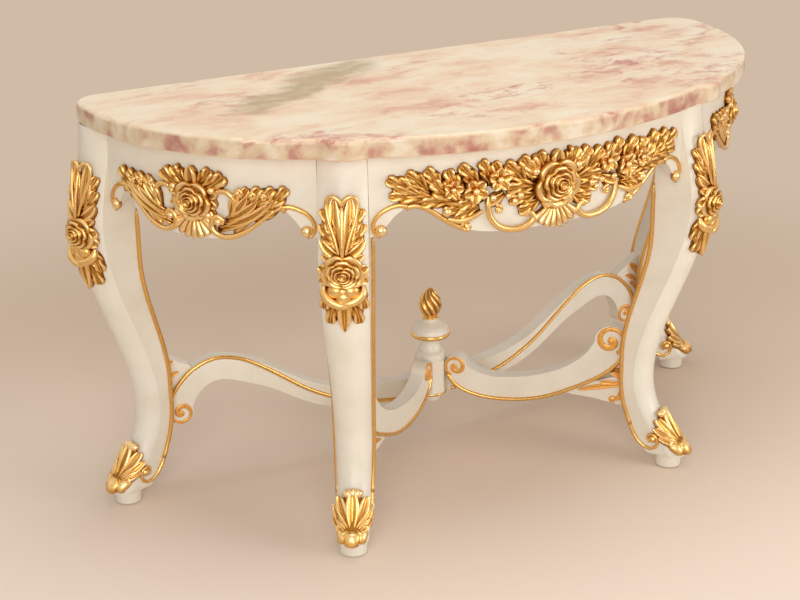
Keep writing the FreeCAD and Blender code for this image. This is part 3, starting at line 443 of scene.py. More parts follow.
def coil(centre, radius, start, way):
    # A flat painted coil that follows the rim, swells and winds in to a round eye.
    outer, inner = radius * smooth(COIL_EDGES).T
    angle = math.radians(start) + way * 2 * np.pi * COIL_TURNS * np.linspace(0, 1, len(outer))
    reach, half = (outer + inner) / 2, (outer - inner) / 2
    spine = around(centre, reach, angle)
    rise, shade = np.full(len(outer), BAND_HEIGHT), np.zeros((len(outer), len(BAND_ACROSS)))
    return [strip(spine, half, BAND_ACROSS, BAND_SECTION, rise, 0.0, shade),
            ball(centre, radius * 0.22, 0.0, 0.5)]


# Half a leaf from its rib to its margin: place across, height and shade.
LEAF_HALF = np.array([(0.16, 0.64, 0.75), (0.35, 0.85, 0.25), (0.55, 1.0, 0), (0.75, 0.97, 0),
                      (0.92, 0.75, 0.2), (1, 0.3, 0.8)])
LEAF_ROWS = np.vstack([LEAF_HALF[::-1] * (-1, 1, 1), [(0, 0.8, 0.2)], LEAF_HALF])
LEAF_ACROSS, LEAF_SECTION, LEAF_RECESS = LEAF_ROWS.T


def leaf(root, tip, half_width, bend=0.0, height=8.0, base=0.0, painted_shade=0.0, lobes=0, blunt=0.5):
    # A carved leaf with a rib and rolled margins, out to a lifted tip; lobes cut its sides into round
    # fingers that sweep to the tip, and a larger blunt gives a sharper tip.
    root, tip = np.array(root, float), np.array(tip, float)
    share = np.sin(np.pi / 2 * np.linspace(0, 1, 13 + 7 * lobes))
    run = tip - root
    middle = (root + tip) / 2 + bend * np.array([-run[1], run[0]])
    weight = share[:, None]
    spine = root * (1 - weight) ** 2 + 2 * middle * weight * (1 - weight) + tip * weight ** 2
    side = np.abs(LEAF_ACROSS)
    groove = (1 - np.abs(np.cos(np.pi * (lobes * weight - 0.75 * side)))) ** 1.5 * (lobes > 0)
    outer = np.clip((share - 0.45) / 0.55, 0, 1)
    width = half_width * (0.5 + 0.5 * ease(share / 0.45)) * (1 - outer ** 2) ** blunt
    width *= 1 - 0.32 * groove[:, -1]
    rise = height * (0.5 + 0.5 * np.sin(np.pi * 0.62 * share))
    cut = groove * ease(side / 0.5)
    section, sweep = LEAF_SECTION * (1 - 0.45 * cut), 0.6 * (lobes > 0)
    # Painted shade: darker in the grooves and towards the root, and darker still by the extra shade given to
    # a leaf that lies low under others.
    shade = 0.85 * LEAF_RECESS + 0.35 * (1 - weight) ** 2 + 0.75 * cut + painted_shade
    return strip(spine, np.maximum(width, 0.4), LEAF_ACROSS, section, rise, base, shade, sweep)


def arm_heading(arm):
    run = np.array(ARM_SEATS[arm]) - POST
    return run / np.linalg.norm(run)


def arm_face(arm, side, half):
    # Flat layout on an upright face of an arm (from the post, up, proud), for the right-hand arms.
    ahead = arm_heading(arm)
    across = np.array([ahead[1], -ahead[0]]) * side

    def laid_on(points):
        plan = POST + points[:, :1] * ahead + (half + points[:, 2:]) * across
        return np.column_stack([plan, points[:, 1]])
    return laid_on


# The scrolls' centres and radii: the front arms' at the post and at the leg, and the rear arms' one.
POST_SCROLL, LEG_SCROLL, REAR_SCROLL = ((57, 172), 24), ((383, 258), 33), ((546.7, 157), 25)
FRONT_COILS = coil(*POST_SCROLL, 245, -1) + coil(*LEG_SCROLL, -62, 1)
REAR_COILS = coil(*REAR_SCROLL, 15, -1)
FRONT_STROKES = [leaf((414, 160), (318, 141), 6, -0.05, 3.0), leaf((412, 166), (362, 164), 5, 0.08, 3.4),
                 leaf((410, 150), (392, 124), 6, 0.3, 3.0), leaf((412, 170), (384, 186), 6, -0.2, 3.4),
                 leaf((410, 172), (403, 200), 5.5, -0.2, 3.0), ball((390, 126), 8, 0.0, 0.6)]
REAR_STROKES = [leaf((586, 236), (556, 272), 7, -0.22, 3.0), leaf((583, 222), (546, 246), 5.5, -0.2, 3.0),
                leaf((580, 204), (560, 228), 5, -0.2, 3.0)]
# The rear arms' bead leaves the scroll, follows the crest and drifts down the face to the post.
REAR_BEAD = [(571, 158), (569, 172), (563, 196), (544, 224), (514, 250), (470, 265), (420, 256), (376, 232),
             (326, 197), (290, 171), (250, 148), (200, 127), (145, 113), (90, 106), (44, 104)]
REAR_LINE = evenly(np.array([(x, z, 0.0) for x, z in smooth(REAR_BEAD)]), 7)


def lower_corner(middle, normals):
    # The lower corners of a front arm's faces, between its scrolls.
    ahead = arm_heading("front")
    reach = (np.array([abs(middle[0]), middle[1]]) - POST) @ ahead
    clear = all(math.hypot(reach - x, middle[2] - z) > radius + 0.8
                for (x, z), radius in (POST_SCROLL, LEG_SCROLL))
    turned = [np.array([abs(normal[0]) * np.sign(normal[0] * middle[0]), normal[1]]) @ ahead
              for normal in normals]
    slopes = [normal[2] for normal in normals]
    upright, across = min(np.abs(slopes)) < 0.05, min(np.abs(turned)) < 0.1
    return clear and min(slopes) < -0.12 and upright and across and reach > 40


for arm, coils, brushed_on in (("front", FRONT_COILS, FRONT_STROKES), ("rear", REAR_COILS, REAR_STROKES)):
    for hand in ("right", "left"):
        label, left = "%s_%s" % (arm, hand), hand == "left"
        if arm == "front":
            beads = [rod(evenly(run, 7), ARM_BEAD, recess=0.25)
                     for run in corner_lines("arm_" + label, lower_corner)]
            piece("arm_bead_" + label, beads, gilt)
        else:
            piece("arm_bead_" + label, [rod(REAR_LINE, ARM_BEAD, recess=0.25)], gilt,
                  arm_face(arm, 1, HALF_ARM), mirror=left)
        for side, end in ((1, "_a"), (-1, "_b")):
            piece("arm_coils_" + label + end, coils, gold_paint,
                  arm_face(arm, side, HALF_ARM), side < 0, left)
            piece("bracket_strokes_" + label + end, brushed_on, gold_paint,
                  arm_face(arm, side, HALF_BRACKET), side < 0, left)


# Turned finial: the urn is a beech turning painted like the frame, and the flame bud that stands on it is
# carved with twisted flutes and gilt. Gilt rings run round the urn, the bud's neck and the post's foot.
URN = [(0, 202), (24, 202), (25, 206), (22, 211), (20, 217), (20, 222), (22, 228), (27, 233), (33, 237),
       (38, 240), (40, 244), (40, 248), (38, 253), (34, 258), (28, 262.5), (22, 266), (18, 269), (16, 272),
       (16, 276), (0, 276)]
FLAME = [(0, 276), (15, 276), (17, 279), (14.5, 282), (18.5, 286), (23, 293), (25, 301), (24.5, 309),
         (21.5, 318), (16.5, 327), (10.5, 335), (5, 340), (1.2, 342), (0, 342)]


def lathe(profile, sides, flutes=0, twist=0.0, cut=0.0, low=0.0):
    # Turns a profile about the post, with twisted flutes above the height low.
    spots = np.arange(len(profile))
    steps = np.linspace(0, spots[-1], spots[-1] * 3 + 1)[1:-1]
    reach, level = [np.interp(steps, spots, column) for column in np.array(profile, float).T]
    turn = np.linspace(0, 2 * np.pi, sides, endpoint=False)
    wave = np.cos(flutes * (turn + twist * (level - low)[:, None])) * (level > low)[:, None]
    wide = reach[:, None] * (1 + cut * (wave - 1) / 2 * (flutes > 0))
    rings = around(POST, wide, turn, np.broadcast_to(level[:, None], wide.shape))
    # The flutes' hollows are painted darker, as painted shade.
    return rings.reshape(-1, 3), ring_faces(*wide.shape), (0.38 - 0.38 * wave).reshape(-1) * (flutes > 0)


def ring(level, radius, thick):
    # A round bead about the post.
    turn = np.linspace(0, 2 * np.pi, 49)
    return rod(around(POST, radius, turn, 0 * turn + level), thick, recess=0.2)


piece("urn", [lathe(URN, 48)], cream, stands_for=("finial_urn",))
piece("flame_bud", [lathe(FLAME, 96, 9, 0.028, 0.2, 283)], gilt, stands_for=("flame_finial",))
piece("turned_rings", [ring(240.5, 37.0, 5.6), ring(107, 31.5, 3.4), ring(277, 16, 2.4)], gilt)


# Knee carvings: limewood drops glued to the knees and gilt. A two-curled crown and paired acanthus
# lobes stand over a rose, then two cupped buds in a crossed swag, and a fan of pointed leaves.
# Heights where the curves of a leg's front and cheeks meet; how far out its front lies at block, knee,
# ankle and toe; its half width; and the crown of its round front.
LEG_TOP, CHEEK_TOP, KNEE_LEVEL, TOE_LEVEL = 782, 617, 585, 38
BLOCK_FRONT, KNEE_FRONT, ANKLE_FRONT, TOE_FRONT = 26, 58, -44, 38
KNEE_HALF, ANKLE_HALF, FOOT_HALF = 44, 34.5, 29
TOP_CROWN, ANKLE_CROWN = 18, 26


def leg_front(level):
    upper = BLOCK_FRONT + (KNEE_FRONT - BLOCK_FRONT) * ease((LEG_TOP - level) / (LEG_TOP - KNEE_LEVEL))
    shin = KNEE_FRONT + (ANKLE_FRONT - KNEE_FRONT) * ease((KNEE_LEVEL - level) / (KNEE_LEVEL - ANKLE))
    below = np.clip((ANKLE - level) / (ANKLE - TOE_LEVEL), 0, 1)
    toe = ANKLE_FRONT + (TOE_FRONT - ANKLE_FRONT) * below ** 2
    return np.where(level > KNEE_LEVEL, upper, np.where(level > ANKLE, shin, toe))


def leg_half(level):
    shin = KNEE_HALF + (ANKLE_HALF - KNEE_HALF) * ease((CHEEK_TOP - level) / (CHEEK_TOP - ANKLE))
    foot = ANKLE_HALF + (FOOT_HALF - ANKLE_HALF) * (ANKLE - level) / (ANKLE - FOOT_TOP)
    return np.where(level > ANKLE, shin, foot)


def wrapped(across, level, proud):
    # A point on the rounded front of a leg, or on its cheek where across runs past the front.
    half, front = leg_half(level), leg_front(level)
    depth = TOP_CROWN + (ANKLE_CROWN - TOP_CROWN) * ease((LEG_TOP - level) / (LEG_TOP - ANKLE))
    arc = (half ** 2 + depth ** 2) / (2 * depth)
    turn = np.arcsin(np.minimum(half / arc, 1))
    slope = (leg_front(level + 1) - leg_front(level - 1)) / 2
    lean = 1 / np.sqrt(1 + slope ** 2)
    angle = np.clip(across / arc, -turn, turn)
    past = np.abs(across) - arc * turn
    x = np.where(past > 0, front - depth - past, front - arc + (arc + proud * lean) * np.cos(angle))
    y = np.where(past > 0, np.sign(across) * (half + proud), (arc + proud * lean) * np.sin(angle))
    return np.stack([x, y, level - proud * slope * lean * (past <= 0)], axis=1)


# Each round of petals: how many, its reach and rim height as shares of the rose, and its first notch.
ROSE_ROUNDS = ((5, 1.36, 0.52, 20), (5, 0.98, 0.74, 55), (4, 0.68, 0.9, 10), (3, 0.43, 1.0, 70),
               (2, 0.22, 1.06, 30))
# A petal's section from outside its rim to the dish inside it: share of reach, step in height, shade.
PETAL = ((1.06, -0.32, 0.85), (1.0, -0.07, 0.2), (0.94, 0.0, 0.0), (0.85, -0.02, 0.05), (0.78, -0.11, 0.35))
ROSE_SIDES = 72


def rose(centre, radius, height, base=0.0):
    # A full-blown rose: rounds of petals with rolled rims, each round over the one outside it.
    angle = np.linspace(0, 2 * np.pi, ROSE_SIDES, endpoint=False)
    rows, shade = [], []
    for petals, reach, rim, start in ROSE_ROUNDS:
        turn = petals * (angle - math.radians(start)) / (2 * np.pi) % 1
        notch = np.abs(np.cos(np.pi * turn)) ** 6
        for share, step, dark in PETAL:
            out = radius * reach * share * (1 - 0.12 * notch)
            level = base + height * (rim + step + 0.08 * (turn - 0.5))
            rows.append(around(centre, out, angle, level))
            # Painted shade: darker at the foot of each rim, in the dish inside it and in the notches between
            # petals; the outer wall is in full shade.
            shade.append(dark + 0.4 * notch)
    top, shade = np.array(rows[::-1]), np.array(shade[::-1])
    index = np.arange(len(rows) * ROSE_SIDES).reshape(-1, ROSE_SIDES)
    after = np.roll(index, -1, axis=1)
    quads = np.stack([index[:-1], index[1:], after[1:], after[:-1]], axis=-1).reshape(-1, 4)
    foot = np.arange(ROSE_SIDES) + index.size
    walls = np.stack([after[-1], index[-1], foot, np.roll(foot, -1)], axis=-1)
    under = top[-1].copy()
    under[:, 2] = base - ROOT_DEPTH
    faces = quads.tolist() + walls.tolist() + [index[0].tolist(), foot[::-1].tolist()]
    shade = np.concatenate([shade.reshape(-1), np.ones(ROSE_SIDES)])
    return [(np.vstack([top.reshape(-1, 3), under]), faces, np.clip(shade, 0, 1))]


LOBE_RUN = 21


def spray(rows):
    # Leaves from rows of root, tip, half width, bend and height, each over a low ground of its own that is
    # painted darker as shade; a long leaf is cut into lobes.
    made = []
    for root, tip, half_width, bend, height in rows:
        lobes = int(math.dist(root, tip) / LOBE_RUN)
        lobes = lobes if lobes > 1 else 0
        made.append(leaf(root, tip, half_width * (1.35 if lobes else 1.0), bend, height, lobes=lobes))
        made.append(leaf(root, tip, half_width * 1.25 + 1.5, bend, 3.0, painted_shade=0.55))
    return made


def swelled(points, thin, swell, start=0.1, end=0.95):
    # A rod through points that thickens towards its middle.
    line = smooth(points)
    return rod(line, thin + swell * np.sin(np.pi * np.linspace(start, end, len(line))))


HEART = smooth([(0, 701, 9), (5, 710, 11), (13, 715, 12), (21, 711, 11), (24, 698, 10), (21, 676, 9),
                (13, 650, 9), (5, 618, 8)])
MIDRIB = rod([(0, 700, 9), (0, 690, 12), (0, 660, 12), (0, 630, 11), (0, 606, 9)], [2.2, 2.6, 3.0, 3.4, 3.4])
SWAGS = ([(33, 560, 6), (30, 548, 11), (19, 536, 15), (2, 529, 16), (-9, 527, 12)],
         [(-33, 560, 6), (-30, 548, 11), (-19, 537, 13), (-3, 531, 13), (9, 526, 9)])
KNEE = (both(spray([((4, 652), (33, 692), 9, -0.16, 10), ((5, 632), (34, 666), 10, -0.2, 11),
                    ((5, 614), (35, 640), 10, -0.22, 11), ((6, 606), (34, 615), 9, -0.2, 10),
                    ((14, 560), (34, 514), 10, 0.2, 10), ((8, 540), (24, 486), 10, 0.12, 10)])
             + [leaf((6, 610), (13, 712), 15, -0.06, 8), leaf((14, 588), (39, 593), 15, -0.2, 12, blunt=0.35),
                leaf((14, 574), (39, 567), 14, 0.2, 11, blunt=0.35), ball((12.5, 552), 13.5, 6, 0.8, 0.45),
                rod(HEART, np.linspace(4.0, 2.4, len(HEART)))])
        + [MIDRIB, leaf((0, 540), (0, 473), 12, 0.0, 13, blunt=0.8), ball((0, 540), 13, 7, 0.8, 0.4)]
        + rose((0, 584), 25, 20, 3) + [swelled(swag, 2.5, 5.0, 0.05) for swag in SWAGS])
for leg, label, left in LEGS:
    def knee(points):
        return from_leg(wrapped(*points.T), leg)
    piece("acanthus_drop_" + label, KNEE, gilt, knee, mirror=left,
          stands_for=("knee_carving_" + label,))


# Foot carvings: gilt acanthus cups over the toes, carved in limewood and glued on. Blunt leaves fan up
# over a smooth cup to a rolled knob, with a lip of round lobes below; on each cheek the leg's bead
# curls up round a ball.
# The instep from 140 mm up to the lip of the toe, by height and by the run along its curve.
FOOT_LEVELS = np.linspace(140, TOE_LEVEL, 60)
FOOT_STEPS = np.hypot(np.diff(FOOT_LEVELS), np.diff(leg_front(FOOT_LEVELS)))
FOOT_RUN = np.concatenate([[0], np.cumsum(FOOT_STEPS)])


def toe_level(run):
    # Height of a point that lies a given run up the instep from the lip of the toe.
    return np.where(run < 0, TOE_LEVEL + run, np.interp(FOOT_RUN[-1] - run, FOOT_RUN, FOOT_LEVELS))


CUP_RUN = np.linspace(95, 1, 24)
CUP_LINE = np.column_stack([0 * CUP_RUN, CUP_RUN])
CUP_HALF = np.interp(CUP_RUN, [0, 6, 18, 34, 50, 68, 84, 95], [22, 28, 33, 33, 27, 20, 15, 11])
CUP_RISE = np.interp(CUP_RUN, [0, 5, 14, 30, 60, 84, 95], [4, 7, 9, 9, 8, 7, 5])
CUP_ACROSS = np.linspace(-1, 1, 13)
CUP_SHADE = np.full((len(CUP_RUN), len(CUP_ACROSS)), 0.7)
# The leaf that turns down over the toe is painted a little darker, as painted shade.
FOOT = (both([leaf((4, 22), (22, 84), 12, -0.08, 14, blunt=0.25),
              leaf((5, 20), (35, 62), 12, -0.14, 14, blunt=0.25),
              leaf((5, 18), (39, 38), 12, -0.14, 13, blunt=0.25),
              leaf((5, 30), (26, 12), 12, 0.1, 12, painted_shade=0.1, blunt=0.25),
              ball((20, 11), 14, 3, 0.6, 0.35), ball((8, 93), 9, 7, 0.9)])
        + [strip(CUP_LINE, CUP_HALF, CUP_ACROSS, 1 - 0.3 * CUP_ACROSS ** 2, CUP_RISE, 0.0, CUP_SHADE),
           leaf((0, 24), (0, 95), 12, 0.0, 16, blunt=0.4), ball((0, 9), 16, 4, 0.7, 0.4),
           ball((0, 95), 9.5, 7, 0.9)])
CHEEK_CURL = [(-79, 98), (-74, 84), (-66, 67), (-55, 52), (-41, 42), (-27, 40), (-16, 46), (-11, 57),
              (-14, 69), (-23, 75), (-32, 71), (-34, 62), (-29, 56)]
CURL_PROUD, CURL_EYE, CURL_EYE_RADIUS = 2.0, (-23, 63), 8.6
for leg, label, left in LEGS:
    def toe(points):
        across, run, proud = points.T
        return from_leg(wrapped(across, toe_level(run), proud), leg)
    curls = []
    for side in (-1, 1):
        path = evenly(np.array([(x, side * (leg_half(z) + CURL_PROUD), z) for x, z in CHEEK_CURL]), 4)
        curls.append(rod(from_leg(path, leg), np.linspace(LEG_BEAD, 3.0, len(path)), recess=0.2))
        out, level = CURL_EYE
        eye = [(out, side * (leg_half(level) + proud), level) for proud in np.linspace(-8, 8, 9)]
        bulge = np.sqrt(1 - np.linspace(-0.97, 0.97, len(eye)) ** 2)
        curls.append(rod(from_leg(np.array(eye), leg), CURL_EYE_RADIUS * bulge, 14))
    piece("toe_curls_" + label, curls, gilt, mirror=left)
    piece("acanthus_toe_" + label, FOOT, gilt, toe, mirror=left,
          stands_for=("foot_carving_" + label,))


# Apron carvings: limewood garlands glued to the aprons and gilt. A rose stands over a ruffled shell,
# with flowers and acanthus sprays that run out to the legs, and open C-scrolls along the lower edge.
def flower(centre, radius, height, base, petals=5, start=90):
    # Petals round a ball.
    made = [ball(centre, radius * 0.3, base + height * 0.7)]
    for turn in np.radians(start + np.arange(petals) * 360 / petals):
        heading = np.array([math.cos(turn), math.sin(turn)])
        root, tip = centre + heading * radius * 0.12, centre + heading * radius
        made.append(leaf(root, tip, radius * 0.5, 0.0, height, base, blunt=0.4))
    return made


def volute(centre, radius, turns, start, way, thick, base):
    # A rod that winds in to a round eye; way is 1 anticlockwise and -1 clockwise.
    share = np.linspace(0, 1, int(turns * 26))
    angle = math.radians(start) + way * 2 * np.pi * turns * share
    reach = radius * (1 - 0.74 * share)
    path = around(centre, reach, angle, base + thick * 0.5 * share)
    return [rod(path, thick * (1 - 0.3 * share)), ball(centre, radius * 0.42, base + thick * 0.4)]


def fan(centre, inner, outer, start, end, flutes, height, base=0.0):
    # A ruffled fan between two angles: round flutes that swell towards a scalloped rim.
    share = np.linspace(0, 1, 9)[:, None]
    sweep = np.linspace(0, 1, flutes * 8 + 1)[None, :]
    angle = np.radians(start + (end - start) * sweep)
    crest = np.abs(np.sin(np.pi * flutes * sweep))
    reach = inner + (outer * (0.93 + 0.07 * crest) - inner) * share
    level = base + height * (0.45 + 0.55 * np.sin(np.pi * 0.62 * share)) * (0.66 + 0.34 * crest)
    top = around(centre, reach, angle, level)
    # Painted shade: darker in the hollows between flutes and towards the inner end.
    return shell(top, base, np.clip(0.8 * (1 - crest) ** 2 + 0.4 * (0.4 - share), 0, 1))


C_SCROLL = [(132, 694, 4), (134, 676, 6), (129, 655, 7), (115, 638, 7), (92, 629, 7), (66, 629, 7),
            (48, 640, 7), (49, 652, 6), (58, 655, 5), (62, 649, 4)]
RIBBON = [(206, 660, 3), (186, 655, 5), (166, 658, 6), (144, 668, 4)]
FRONT_SPRAY = (spray([((236, 706), (311, 738), 13, -0.06, 9), ((228, 697), (308, 706), 11, 0.1, 8),
                      ((240, 712), (278, 746), 11, 0.12, 10), ((222, 710), (244, 752), 11, 0.15, 11),
                      ((246, 704), (300, 722), 9, 0.02, 11), ((178, 686), (232, 730), 14, -0.14, 11),
                      ((170, 690), (206, 748), 13, -0.14, 12), ((196, 690), (252, 690), 11, 0.16, 9),
                      ((150, 706), (184, 754), 11, 0.1, 12), ((128, 712), (146, 758), 11, 0.14, 11),
                      ((60, 704), (100, 748), 13, 0.12, 12), ((44, 710), (70, 756), 12, 0.1, 12),
                      ((88, 706), (122, 754), 11, -0.12, 11), ((14, 722), (38, 760), 14, -0.14, 14),
                      ((24, 716), (60, 746), 12, -0.12, 13), ((36, 700), (98, 702), 12, 0.1, 11),
                      ((36, 690), (92, 682), 11, -0.1, 10), ((30, 680), (74, 660), 11, -0.12, 10),
                      ((102, 696), (138, 680), 10, -0.1, 9), ((140, 692), (186, 680), 11, 0.1, 9),
                      ((170, 684), (214, 674), 10, -0.1, 9), ((148, 676), (192, 658), 9, 0.12, 8)])
               + [ball((207, 673), 8, 4), ball((44, 729), 8, 8), ball((74, 690), 7, 9), ball((85, 681), 6, 9),
                  ball((97, 692), 6, 9), ball((20, 672), 14, 8, 0.8, 0.2), ball((126, 692), 7, 9)]
               + volute((172, 643), 10, 1.2, 100, -1, 4, 3) + volute((114, 668), 8, 1.1, 60, 1, 3.4, 4)
               + flower((113, 724), 21, 12, 5) + flower((158, 708), 22, 13, 5, start=60)
               + flower((198, 714), 17, 12, 5, start=30)
               + [swelled(C_SCROLL, 3.5, 2.7), swelled(RIBBON, 3.0, 2.5, end=0.9)])
FRONT_GARLAND = (both(FRONT_SPRAY) + rose((0, 702), 33, 25, 5)
                 + [leaf((0, 724), (0, 763), 15, 0, 16), fan((0, 676), 18, 57, 212, 328, 8, 12)])
piece("rose_garland_front", FRONT_GARLAND, gilt, front_face, stands_for=("carving_front",))

WING = [(150, 684, 3), (112, 653, 5), (90, 639, 7), (68, 632, 8), (50, 634, 8), (37, 645, 8), (37, 660, 8),
        (47, 668, 8), (57, 662, 7), (55, 654, 6)]
ARCH = [(42, 702, 4), (52, 713, 6), (66, 714, 7), (77, 704, 7), (80, 688, 6), (74, 670, 5)]
SIDE_SPRAY = ([leaf((46, 642), (150, 704), 10, -0.13, 11, blunt=0.6),
               leaf((58, 652), (138, 694), 9, -0.16, 13, blunt=0.6),
               leaf((62, 662), (122, 702), 9, -0.14, 12, blunt=0.6),
               leaf((70, 668), (104, 708), 9, -0.06, 12), leaf((72, 672), (90, 716), 9, 0.12, 12)]
              + spray([((116, 680), (172, 724), 12, -0.12, 12), ((104, 676), (150, 722), 11, 0.08, 11),
                       ((94, 674), (126, 722), 10, 0.14, 10), ((84, 668), (104, 722), 9, 0.14, 9),
                       ((112, 666), (162, 700), 9, -0.12, 8), ((12, 712), (60, 741), 14, -0.16, 13),
                       ((8, 718), (36, 750), 11, -0.1, 13), ((14, 682), (40, 650), 12, 0.1, 9),
                       ((24, 692), (46, 682), 9, 0.1, 9), ((26, 702), (48, 704), 9, 0.1, 9)])
              + volute((88, 715), 8, 1.1, 250, 1, 3.6, 8) + volute((112, 712), 7, 1.1, 250, 1, 3.2, 9)
              + volute((132, 710), 6, 1.1, 250, 1, 2.8, 9)
              + [ball((38, 714), 7, 7), ball((30, 668), 7, 7), ball((14, 668), 10, 8, 0.8, 0.2),
                 ball((48, 658), 7, 7), swelled(WING, 3.0, 2.2), swelled(ARCH, 3.0, 2.0, end=0.9)])
SIDE_GARLAND = (both(SIDE_SPRAY) + rose((0, 692), 27, 22, 4)
                + [leaf((0, 714), (0, 755), 13, 0, 15), fan((0, 674), 14, 52, 212, 328, 7, 11)])
for hand in ("left", "right"):
    piece("rose_garland_" + hand, SIDE_GARLAND, gilt, side_face, mirror=hand == "left",
          stands_for=("carving_" + hand,))


# Marble slab: one piece of cream breccia marble, sawn, with an eased and polished edge. It lies loose
# on the pads, held by its weight.
# Sockets of a Mix node that blends colours: share of the upper, the lower, the upper, and what comes out.
SHARE, LOWER, UPPER, BLEND = 0, 6, 7, 2
# A MapRange node takes its value, the range that comes in and the range it becomes; SOFT eases it.
SOFT = {"interpolation_type": "SMOOTHSTEP"}
# Polished breccia: a cream ground with peach clouds, drawn out along the bed; bands of pink with wine-red
# flecks of about 24 mm, pale 45 mm lumps, one mottled olive streak, and 48 mm patches in the sawn edge.
marble, tree, shader = material("polished_marble")
place = node(tree, "TexCoord").outputs["Object"]
drift = node(tree, "TexNoise", {"Vector": place, "Scale": 1000 / 120, "Detail": 4.0}).outputs["Color"]
centred = node(tree, "VectorMath", (drift, (0.5, 0.5, 0.5)), operation="SUBTRACT")
push = node(tree, "VectorMath", {0: centred, "Scale": 0.07}, operation="SCALE")
along = node(tree, "Mapping", {"Vector": place, "Rotation": (0, 0, math.radians(-20)), "Scale": (0.5, 1, 1)})
flow = node(tree, "VectorMath", (along, push))
clouds = node(tree, "TexNoise", {"Vector": flow, "Scale": 1000 / 70, "Detail": 7.0, "Roughness": 0.62})
ground = node(tree, "ValToRGB", {"Fac": clouds},
              [(0.36, "#F1E5CD"), (0.5, "#EED8B9"), (0.6, "#E8C5A5"), (0.68, "#DAA88F"), (0.78, "#C48577")])
lumps = node(tree, "TexVoronoi", {"Vector": flow, "Scale": 1000 / 45}, feature="SMOOTH_F1")
pale = node(tree, "MapRange", (lumps, 0.1, 0.55, 0.35, 0.0))
beds = node(tree, "TexNoise", {"Vector": flow, "Scale": 1000 / 150, "Detail": 3.0})
band = node(tree, "MapRange", (beds, 0.5, 0.62), **SOFT)
flecks = node(tree, "TexNoise", {"Vector": flow, "Scale": 1000 / 24, "Detail": 7.0, "Roughness": 0.7})
blush = node(tree, "MapRange", (flecks, 0.46, 0.62))
pinks = node(tree, "Math", (band, blush), operation="MULTIPLY")
wine = node(tree, "MapRange", (flecks, 0.58, 0.72, 0.0, 0.85))
wines = node(tree, "Math", (band, wine), operation="MULTIPLY")
# The streak lies askew at the left, towards the wall, bent by the drift: 30 mm wide and 340 mm long at full
# strength, and gone at 120 mm by 540 mm.
askew = node(tree, "Mapping", {"Vector": place, "Location": (0.126, -0.29, 0),
                               "Rotation": (0, 0, math.radians(-35))})
bent = node(tree, "VectorMath", {0: centred, "Scale": 0.11}, operation="SCALE")
axes = node(tree, "SeparateXYZ", (node(tree, "VectorMath", (askew, bent)),)).outputs
off_line = node(tree, "Math", (axes["Y"],), operation="ABSOLUTE")
width = node(tree, "MapRange", (off_line, 0.015, 0.06, 1.0, 0.0), **SOFT)
off_end = node(tree, "Math", (axes["X"],), operation="ABSOLUTE")
length = node(tree, "MapRange", (off_end, 0.17, 0.27, 1.0, 0.0), **SOFT)
streak = node(tree, "Math", (width, length), operation="MULTIPLY")
mottle = node(tree, "MapRange", (flecks, 0.36, 0.56, 0.6, 1.0))
olive = node(tree, "Math", (streak, mottle), operation="MULTIPLY")
# The sawn edge, where the face stands upright, cuts through whole patches; their colours are set a little
# darker than the top's, partly as painted shade on the upright edge.
upright = node(tree, "SeparateXYZ", (node(tree, "NewGeometry").outputs["True Normal"],)).outputs["Z"]
flat = node(tree, "Math", (upright,), operation="ABSOLUTE")
edge = node(tree, "MapRange", (flat, 0.2, 0.8, 0.85, 0.0))
jumble = node(tree, "VectorMath", (place, push))
cells = node(tree, "TexNoise", {"Vector": jumble, "Scale": 1000 / 48, "Detail": 4.0})
patch = node(tree, "ValToRGB", {"Fac": cells},
             [(0.36, "#EADFCE"), (0.46, "#DCCAAB"), (0.53, "#D2B598"), (0.59, "#C28E80"), (0.68, "#A6645F")])
layers = ((pale, "#F5E6CB"), (pinks, "#CF917E"), (wines, "#A64C46"), (olive, "#B29C72"), (edge, patch))
colour = ground
for share, upper in layers:
    colour = node(tree, "Mix", {SHARE: share, LOWER: colour, UPPER: upper}, data_type="RGBA").outputs[BLEND]
gloss = node(tree, "MapRange", {"Value": clouds, "To Min": 0.26, "To Max": 0.4})
wire(tree, shader, {"Base Color": colour, "Roughness": gloss})
dress(["marble_top"], marble)


# Studio floor: a pale seamless board that the table stands on, with painted light that pales it at the front
# and painted shade that deepens it behind, where the table stands. Away from the table it shows the
# backdrop's even tone to the eye and in reflections.
FLOOR = [(-14, -10, 0), (14, -10, 0), (14, 18, 0), (-14, 18, 0)]
BACKDROP = "#D0BBA6"
floor_mesh = bpy.data.meshes.new("floor")
floor_mesh.from_pydata(FLOOR, [], [[0, 1, 2, 3]])
floor = bpy.data.objects.new("floor", floor_mesh)
bpy.context.scene.collection.objects.link(floor)


def looked_at(tree):
    # One where the eye sees it, also mirrored or through something clear, and zero for the light it gives.
    sight = node(tree, "LightPath").outputs
    either = node(tree, "Math", (sight["Is Camera Ray"], sight["Is Glossy Ray"]), operation="MAXIMUM")
    return node(tree, "Math", (either, sight["Is Transmission Ray"]), operation="MAXIMUM")


# Matt painted board: a plain warm beige, paler towards the front as painted light, and deeper towards the
# back as painted shade.
board, tree, shader = material("matt_studio_board")
place = node(tree, "TexCoord").outputs["Object"]
turned = node(tree, "Mapping", {"Vector": place, "Rotation": (0, 0, math.radians(27))})
depth = node(tree, "SeparateXYZ", (turned,)).outputs["Y"]
back = node(tree, "MapRange", (depth, -0.5, 1.1), **SOFT)
tone = node(tree, "ValToRGB", {"Fac": back}, [(0.0, "#F9EADC"), (1.0, "#DFCBB7")])
wire(tree, shader, {"Base Color": tone, "Roughness": 0.9, "Specular IOR Level": 0.1})
away = node(tree, "VectorMath", (place,), operation="LENGTH").outputs["Value"]
far = node(tree, "MapRange", (away, 1.0, 2.3), **SOFT)
shown = node(tree, "Math", (looked_at(tree), far), operation="MULTIPLY")
even = node(tree, "Emission", {"Color": BACKDROP, "Strength": 1.0})
mixed = node(tree, "MixShader", (shown, shader, even))
wire(tree, tree.nodes["Material Output"], {"Surface": mixed})
floor_mesh.materials.append(board)


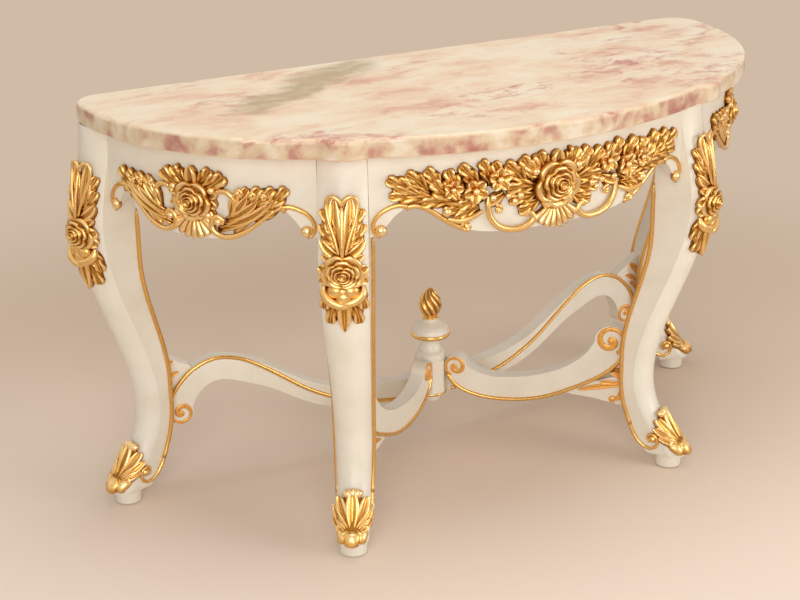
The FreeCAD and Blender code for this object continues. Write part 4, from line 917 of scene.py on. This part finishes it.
# Studio light: one large soft lamp from the left front, a weaker one from the right, one overhead, and
# a pale surround that fills the shadows and shows the backdrop's tone to the eye.
world = bpy.data.worlds.new("studio")
bpy.context.scene.world = world
world.use_nodes = True
tree = world.node_tree
to_eye = node(tree, "LightPath").outputs["Is Camera Ray"]
tint = node(tree, "Mix", {SHARE: to_eye, LOWER: "#F7EEE4", UPPER: BACKDROP}, data_type="RGBA").outputs[BLEND]
strength = node(tree, "MapRange", {"Value": looked_at(tree), "To Min": 0.43, "To Max": 1.0})
wire(tree, tree.nodes["Background"], {"Color": tint, "Strength": strength})
for name, spot, aim, width, power in (("key", (-2.2, -3.7, 2.1), (0, 0, 0.4), 3.2, 82.0),
                                      ("fill", (2.8, -3.3, 1.4), (0.2, 0, 0.3), 2.2, 48.0),
                                      ("top", (0.0, -0.1, 3.5), (0, 0, 0.6), 2.2, 38.0)):
    lamp = bpy.data.lights.new(name, "AREA")
    lamp.shape, lamp.size, lamp.energy = "DISK", width, power
    lamp.color = linear("#FFFBF6")[:3]
    holder = bpy.data.objects.new(name, lamp)
    bpy.context.scene.collection.objects.link(holder)
    holder.location = spot
    holder.rotation_euler = (Vector(spot) - Vector(aim)).to_track_quat("Z", "Y").to_euler()


# Camera: at the photographed angle, from the left front and above, with a long lens. Its place is in
# metres, and its turns are in radians.
EYE = (-1.493698, -2.550035, 1.563105)
YAW, PITCH, ROLL = 0.478387, 0.380316, -0.01559
ahead = np.array([math.sin(YAW) * math.cos(PITCH), math.cos(YAW) * math.cos(PITCH), -math.sin(PITCH)])
sideways = np.array([math.cos(YAW), -math.sin(YAW), 0.0])
upward = np.cross(sideways, ahead)
right = math.cos(ROLL) * sideways + math.sin(ROLL) * upward
above = math.cos(ROLL) * upward - math.sin(ROLL) * sideways
view = bpy.data.cameras.new("view")
view.sensor_width = 36.0
view.lens = 71.984
camera = bpy.data.objects.new("camera", view)
bpy.context.scene.collection.objects.link(camera)
camera.matrix_world = Matrix([*np.column_stack([right, above, -ahead, EYE]).tolist(), [0, 0, 0, 1]])
bpy.context.scene.camera = camera
bpy.context.scene.view_settings.view_transform = "Standard"
